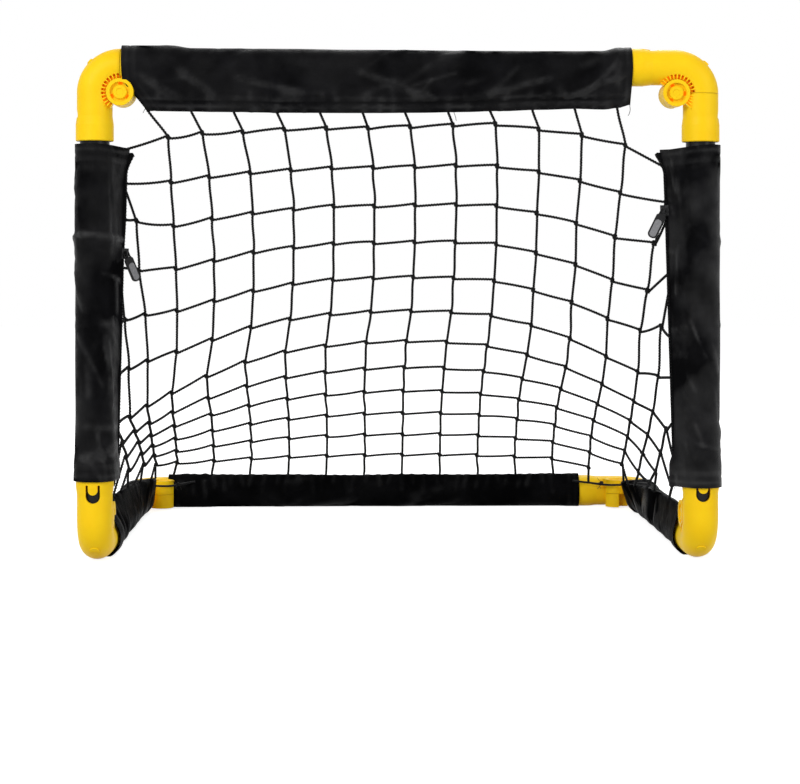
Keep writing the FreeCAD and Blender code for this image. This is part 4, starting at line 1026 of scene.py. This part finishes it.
net_dice = random.Random(101)
names = []
for column in range(COLUMNS):
    first, last = ROWS_OF.get(column, (0, ROWS - 1))
    names += [(column, row) for row in range(first, last + 1)]
places = [knot_start(column, row) for column, row in names]
held = [row in (0, ROWS - 1) for column, row in names]
places[names.index((14, ROWS - 1))] = np.array(CORNER_FOOT)
index = {name: number for number, name in enumerate(names)}
# Each link is one cord between two places: their numbers, its length, and whether it hangs.
links = []


def held_place(side, kind, at):
    """Adds a sewn place, and returns its number."""
    places.append(sewn_spot(side, kind, at))
    held.append(True)
    return len(places) - 1


for column, row in names:
    if (column, row + 1) in index:
        length = FIRST_LENGTHS[column] if row == 0 else HANG_LENGTH
        length = length * net_dice.uniform(0.985, 1.01)
        links.append((index[column, row], index[column, row + 1], length, "hang"))
    if 0 < row < ROWS - 1 and (column + 1, row) in index:
        length = (CROSS_LENGTH + CROSS_GROWTH * row) * net_dice.uniform(0.985, 1.005)
        links.append((index[column, row], index[column + 1, row], length, "cross"))
for (side, kind), cords in SEWN.items():
    for column, row, at, length in cords:
        links.append((held_place(side, kind, at), index[column, row], length, "cross"))
for side, (spot, neighbour, length, *sewn) in EDGE_KNOTS.items():
    index[side] = len(places)
    places.append(np.array(spot))
    held.append(False)
    links.append((index[side], index[neighbour], length, "cross"))
    for kind, at, tie in sewn:
        links.append((index[side], held_place(side, kind, at), tie, "cross"))

places = np.array(places)
loose = ~np.array(held)
first_end, second_end, longest = (np.array([link[part] for link in links]) for part in range(3))
weight = loose.astype(float)
share_out = np.maximum(weight[first_end] + weight[second_end], 1.0)
meeting = np.bincount(np.concatenate([first_end, second_end]), minlength=len(places))
meeting = np.maximum(meeting, 1.0)[:, None]
speed = np.zeros_like(places)
for step in range(NET_STEPS):
    before = places.copy()
    places[loose] += speed[loose] * NET_DRAG + np.array([0, 0, -NET_WEIGHT])
    for sweep in range(NET_SWEEPS):
        gap = places[second_end] - places[first_end]
        size = np.linalg.norm(gap, axis=1)
        over = np.maximum(size - longest, 0.0)
        under = np.minimum(size - longest * CORD_STIFF_FROM, 0.0) * CORD_STIFFNESS
        pull = gap * ((over + under) / np.maximum(size, 1e-9) / share_out)[:, None]
        moved = np.zeros_like(places)
        np.add.at(moved, first_end, pull * weight[first_end][:, None])
        np.add.at(moved, second_end, -pull * weight[second_end][:, None])
        places += moved / meeting * NET_HURRY
    speed = places - before
places_of = {name: places[index[name]] for name in index}

BRAID_BLACK = (0.0050, 0.0050, 0.0053, 1)
BRAID_LIT = (0.016, 0.016, 0.017, 1)


def braided_cord():
    """Braided polyester cord: matt black, with small fibres that catch the light."""
    material, shader, place = new_finish("braided_cord", BRAID_BLACK, 0.62, 0.08, 0.02)
    strands = wired(material.node_tree, "TexVoronoi", {"Vector": place, "Scale": 900.0})
    feed(shader, {
        "Base Color": two_tone(patches(place, 1500.0, 0.45, 0.75), BRAID_BLACK, BRAID_LIT),
        "Roughness": spread(cloudy(place, 200.0), 0.3, 0.7, 0.55, 0.72),
        "Normal": bumped(strands.outputs["Distance"], 0.6, 0.0003),
    })
    return material


cord_black = braided_cord()

KNOT_LONG = 0.0021
KNOT_WIDE = 0.0013
KNOT_CORD = 0.0011
KNOT_POINTS = 20
KNOT_THICK = 0.45
CORD_BEND = 0.33
ROW_OFFSET = 0.0009
CORD_SPACING = 0.0009
CORD_LOBES, CORD_TWIST = 0.14, 850.0
HANG_SLACK, CROSS_SLACK = 0.0004, 0.00005
HEM_TUCK = 0.0035


def cord_line(start, end, start_way, end_way, slack, side_way):
    """A cord between two knots: it leaves and arrives at a slant, and bows with its slack."""
    run = np.linalg.norm(end - start)
    count = max(6, int(run / CORD_SPACING))
    t = np.linspace(0, 1, count)[:, None]
    reach = run * CORD_BEND
    b = start + start_way * reach
    c = end - end_way * reach
    line = (1 - t) ** 3 * start + 3 * t * (1 - t) ** 2 * b + 3 * t * t * (1 - t) * c + t ** 3 * end
    bow = math.sqrt(max(slack, 0.0) * run * 3 / 8)
    line += (4 * t * (1 - t)) * side_way * bow
    return line


def knot_line(centre, across, down, size, wide=0.6):
    """One small overhand knot as a closed line, drawn out along its first direction."""
    out = unit(np.cross(across, down))
    t = np.linspace(0, 2 * math.pi, KNOT_POINTS, endpoint=False)
    x = (np.sin(t) + 2 * np.sin(2 * t)) / 3
    y = (np.cos(t) - 2 * np.cos(2 * t)) / 3 * wide
    z = -np.sin(3 * t)
    flat = size * (x[:, None] * across + y[:, None] * down)
    return centre + flat + size * KNOT_THICK * z[:, None] * out


def next_knot(column, row, over, down):
    """The next knot across or down from one, or a place as far past the net's last one."""
    beyond = places_of.get((column + over, row + down))
    if beyond is None:
        beyond = places_of[column, row] * 2 - places_of[column - over, row - down]
    return beyond


hang_lines, cross_lines, knot_lines = [], [], []
straight_down = np.array(DOWN, float)
row_shift = np.array([ROW_OFFSET, 0.0, -ROW_OFFSET * 1.3])
for first_at, second_at, limit, kind in links:
    a, b = places[first_at].copy(), places[second_at].copy()
    slack = max(limit - np.linalg.norm(b - a), 0.0)
    if kind == "hang":
        side_way = unit(np.array([net_dice.gauss(0, 1), net_dice.gauss(0, 0.4), -0.2]))
        lean = np.array([0.05 + net_dice.gauss(0, 0.05), 0.0, 0.0])
        straight = unit(b - a)
        way = unit(straight - lean)
        hang_lines.append(cord_line(a, b, way, way, min(slack, HANG_SLACK), side_way))
        continue
    going = 1 if b[0] > a[0] else -1
    if loose[first_at]:
        a += row_shift * going
    if loose[second_at]:
        b -= row_shift * going
    straight = unit(b - a)
    bend = np.array([0.0, 0.0, net_dice.gauss(0.0, 0.04)])
    way_out, way_in = unit(straight - bend), unit(straight + bend)
    cross_lines.append(cord_line(a, b, way_out, way_in, min(slack, CROSS_SLACK), straight_down))

for name, number in index.items():
    if not loose[number]:
        continue
    if name in EDGE_KNOTS:
        name = EDGE_KNOTS[name][1]
    column, row = name
    here = places_of[name]
    across = unit(next_knot(column, row, 1, 0) - here)
    down = next_knot(column, row, 0, 1) - here
    down = unit(down - across * np.dot(down, across))
    slant = unit(across * 0.6 + down + np.array([net_dice.gauss(0, 0.15), 0.0, 0.0]))
    cross = unit(across - slant * np.dot(across, slant))
    size = KNOT_LONG * net_dice.uniform(0.92, 1.12)
    knot_lines.append(knot_line(places[number], slant, cross, size, KNOT_WIDE / KNOT_LONG))

for column in range(3, 15):
    top = places_of[column, 0]
    tucked = top - straight_down * HEM_TUCK
    hang_lines.append(cord_line(tucked, top, straight_down, straight_down, 0.0, straight_down))

net_pieces = [
    cord_piece("net_columns", hang_lines, CORD_RADIUS, cord_black, lobes=CORD_LOBES, twist=CORD_TWIST),
    cord_piece("net_rows", cross_lines, CORD_RADIUS, cord_black, lobes=CORD_LOBES, twist=CORD_TWIST),
    cord_piece("net_knots", knot_lines, KNOT_CORD, cord_black, close=True),
]


def fold_share(mesh):
    """How far each point turns with the folding frame: none on the base, all on the posts."""
    co = np.zeros(len(mesh.vertices) * 3, np.float32)
    mesh.vertices.foreach_get("co", co)
    co = co.reshape(-1, 3)
    angle = np.arctan2(co[:, 2] - PIVOT_LOW, co[:, 1] + PIVOT_Y)
    return np.clip(angle / (math.pi / 2), 0.0, 1.0).astype(np.float32)


for piece in net_pieces:
    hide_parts("net_back", "net_side_left", "net_side_right")
    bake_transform(piece)
    fold_share(piece.data)

# Border cords
# The net's border is a thicker twisted cord. It runs inside the sleeves' ridges, and shows only
# where it crosses each rear elbow in the open, tied off with a small knot and frayed ends.
BORDER_RADIUS = 0.0011
BORDER_KNOT_CORD = 0.0009
BORDER_KNOT_X, BORDER_KNOT_Y, BORDER_KNOT_Z = 0.2185, 0.1735, 0.0262
FRAY_COUNT, FRAY_RADIUS, FRAY_LENGTH = 6, 0.0002, 0.008
BORDER_ROUTES = {
    "left": (
        (-0.2020, 0.1876, 0.0271), (-0.2140, 0.1810, 0.0258), (-0.2270, 0.1635, 0.0246),
        (-0.2420, 0.1513, 0.0270),
    ),
    "right": (
        (0.1900, 0.1876, 0.0271), (0.2090, 0.1820, 0.0255), (0.2260, 0.1630, 0.0246),
        (0.2420, 0.1513, 0.0270),
    ),
}
for side, sign in SIDES:
    route = BORDER_ROUTES[side]
    curve = bpy.data.curves.new("border_cord_line_" + side, "CURVE")
    curve.dimensions = "3D"
    curve.bevel_depth = BORDER_RADIUS
    curve.bevel_resolution = 3
    curve.resolution_u = 16
    curve.use_fill_caps = True
    spline = curve.splines.new("NURBS")
    spline.points.add(len(route) - 1)
    for point, place in zip(spline.points, route):
        point.co = (*place, 1.0)
    spline.order_u = 3
    spline.use_endpoint_u = True
    curve.materials.append(cord_black)
    border = bpy.data.objects.new("border_cord_line_" + side, curve)
    scene.collection.objects.link(border)
    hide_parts("border_cord_" + side)
    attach(border, "base_frame")
    knot_at = np.array([sign * BORDER_KNOT_X, BORDER_KNOT_Y, BORDER_KNOT_Z])
    lines = [knot_line(knot_at, np.array([0.8, -sign * 0.6, 0.0]), straight_down, KNOT_LONG)]
    ties = cord_piece("border_knot_" + side, lines, BORDER_KNOT_CORD, cord_black, close=True)
    frays = []
    for number in range(FRAY_COUNT):
        heading = (net_dice.uniform(-1, 1), -0.8, net_dice.uniform(-0.5, 0.7))
        frays.append(loose_thread(knot_at, heading, FRAY_LENGTH, 80 + number + sign))
    fray = cord_piece("border_fray_" + side, frays, FRAY_RADIUS, thread, sides=4)
    for piece in (ties, fray):
        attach(piece, "base_frame")
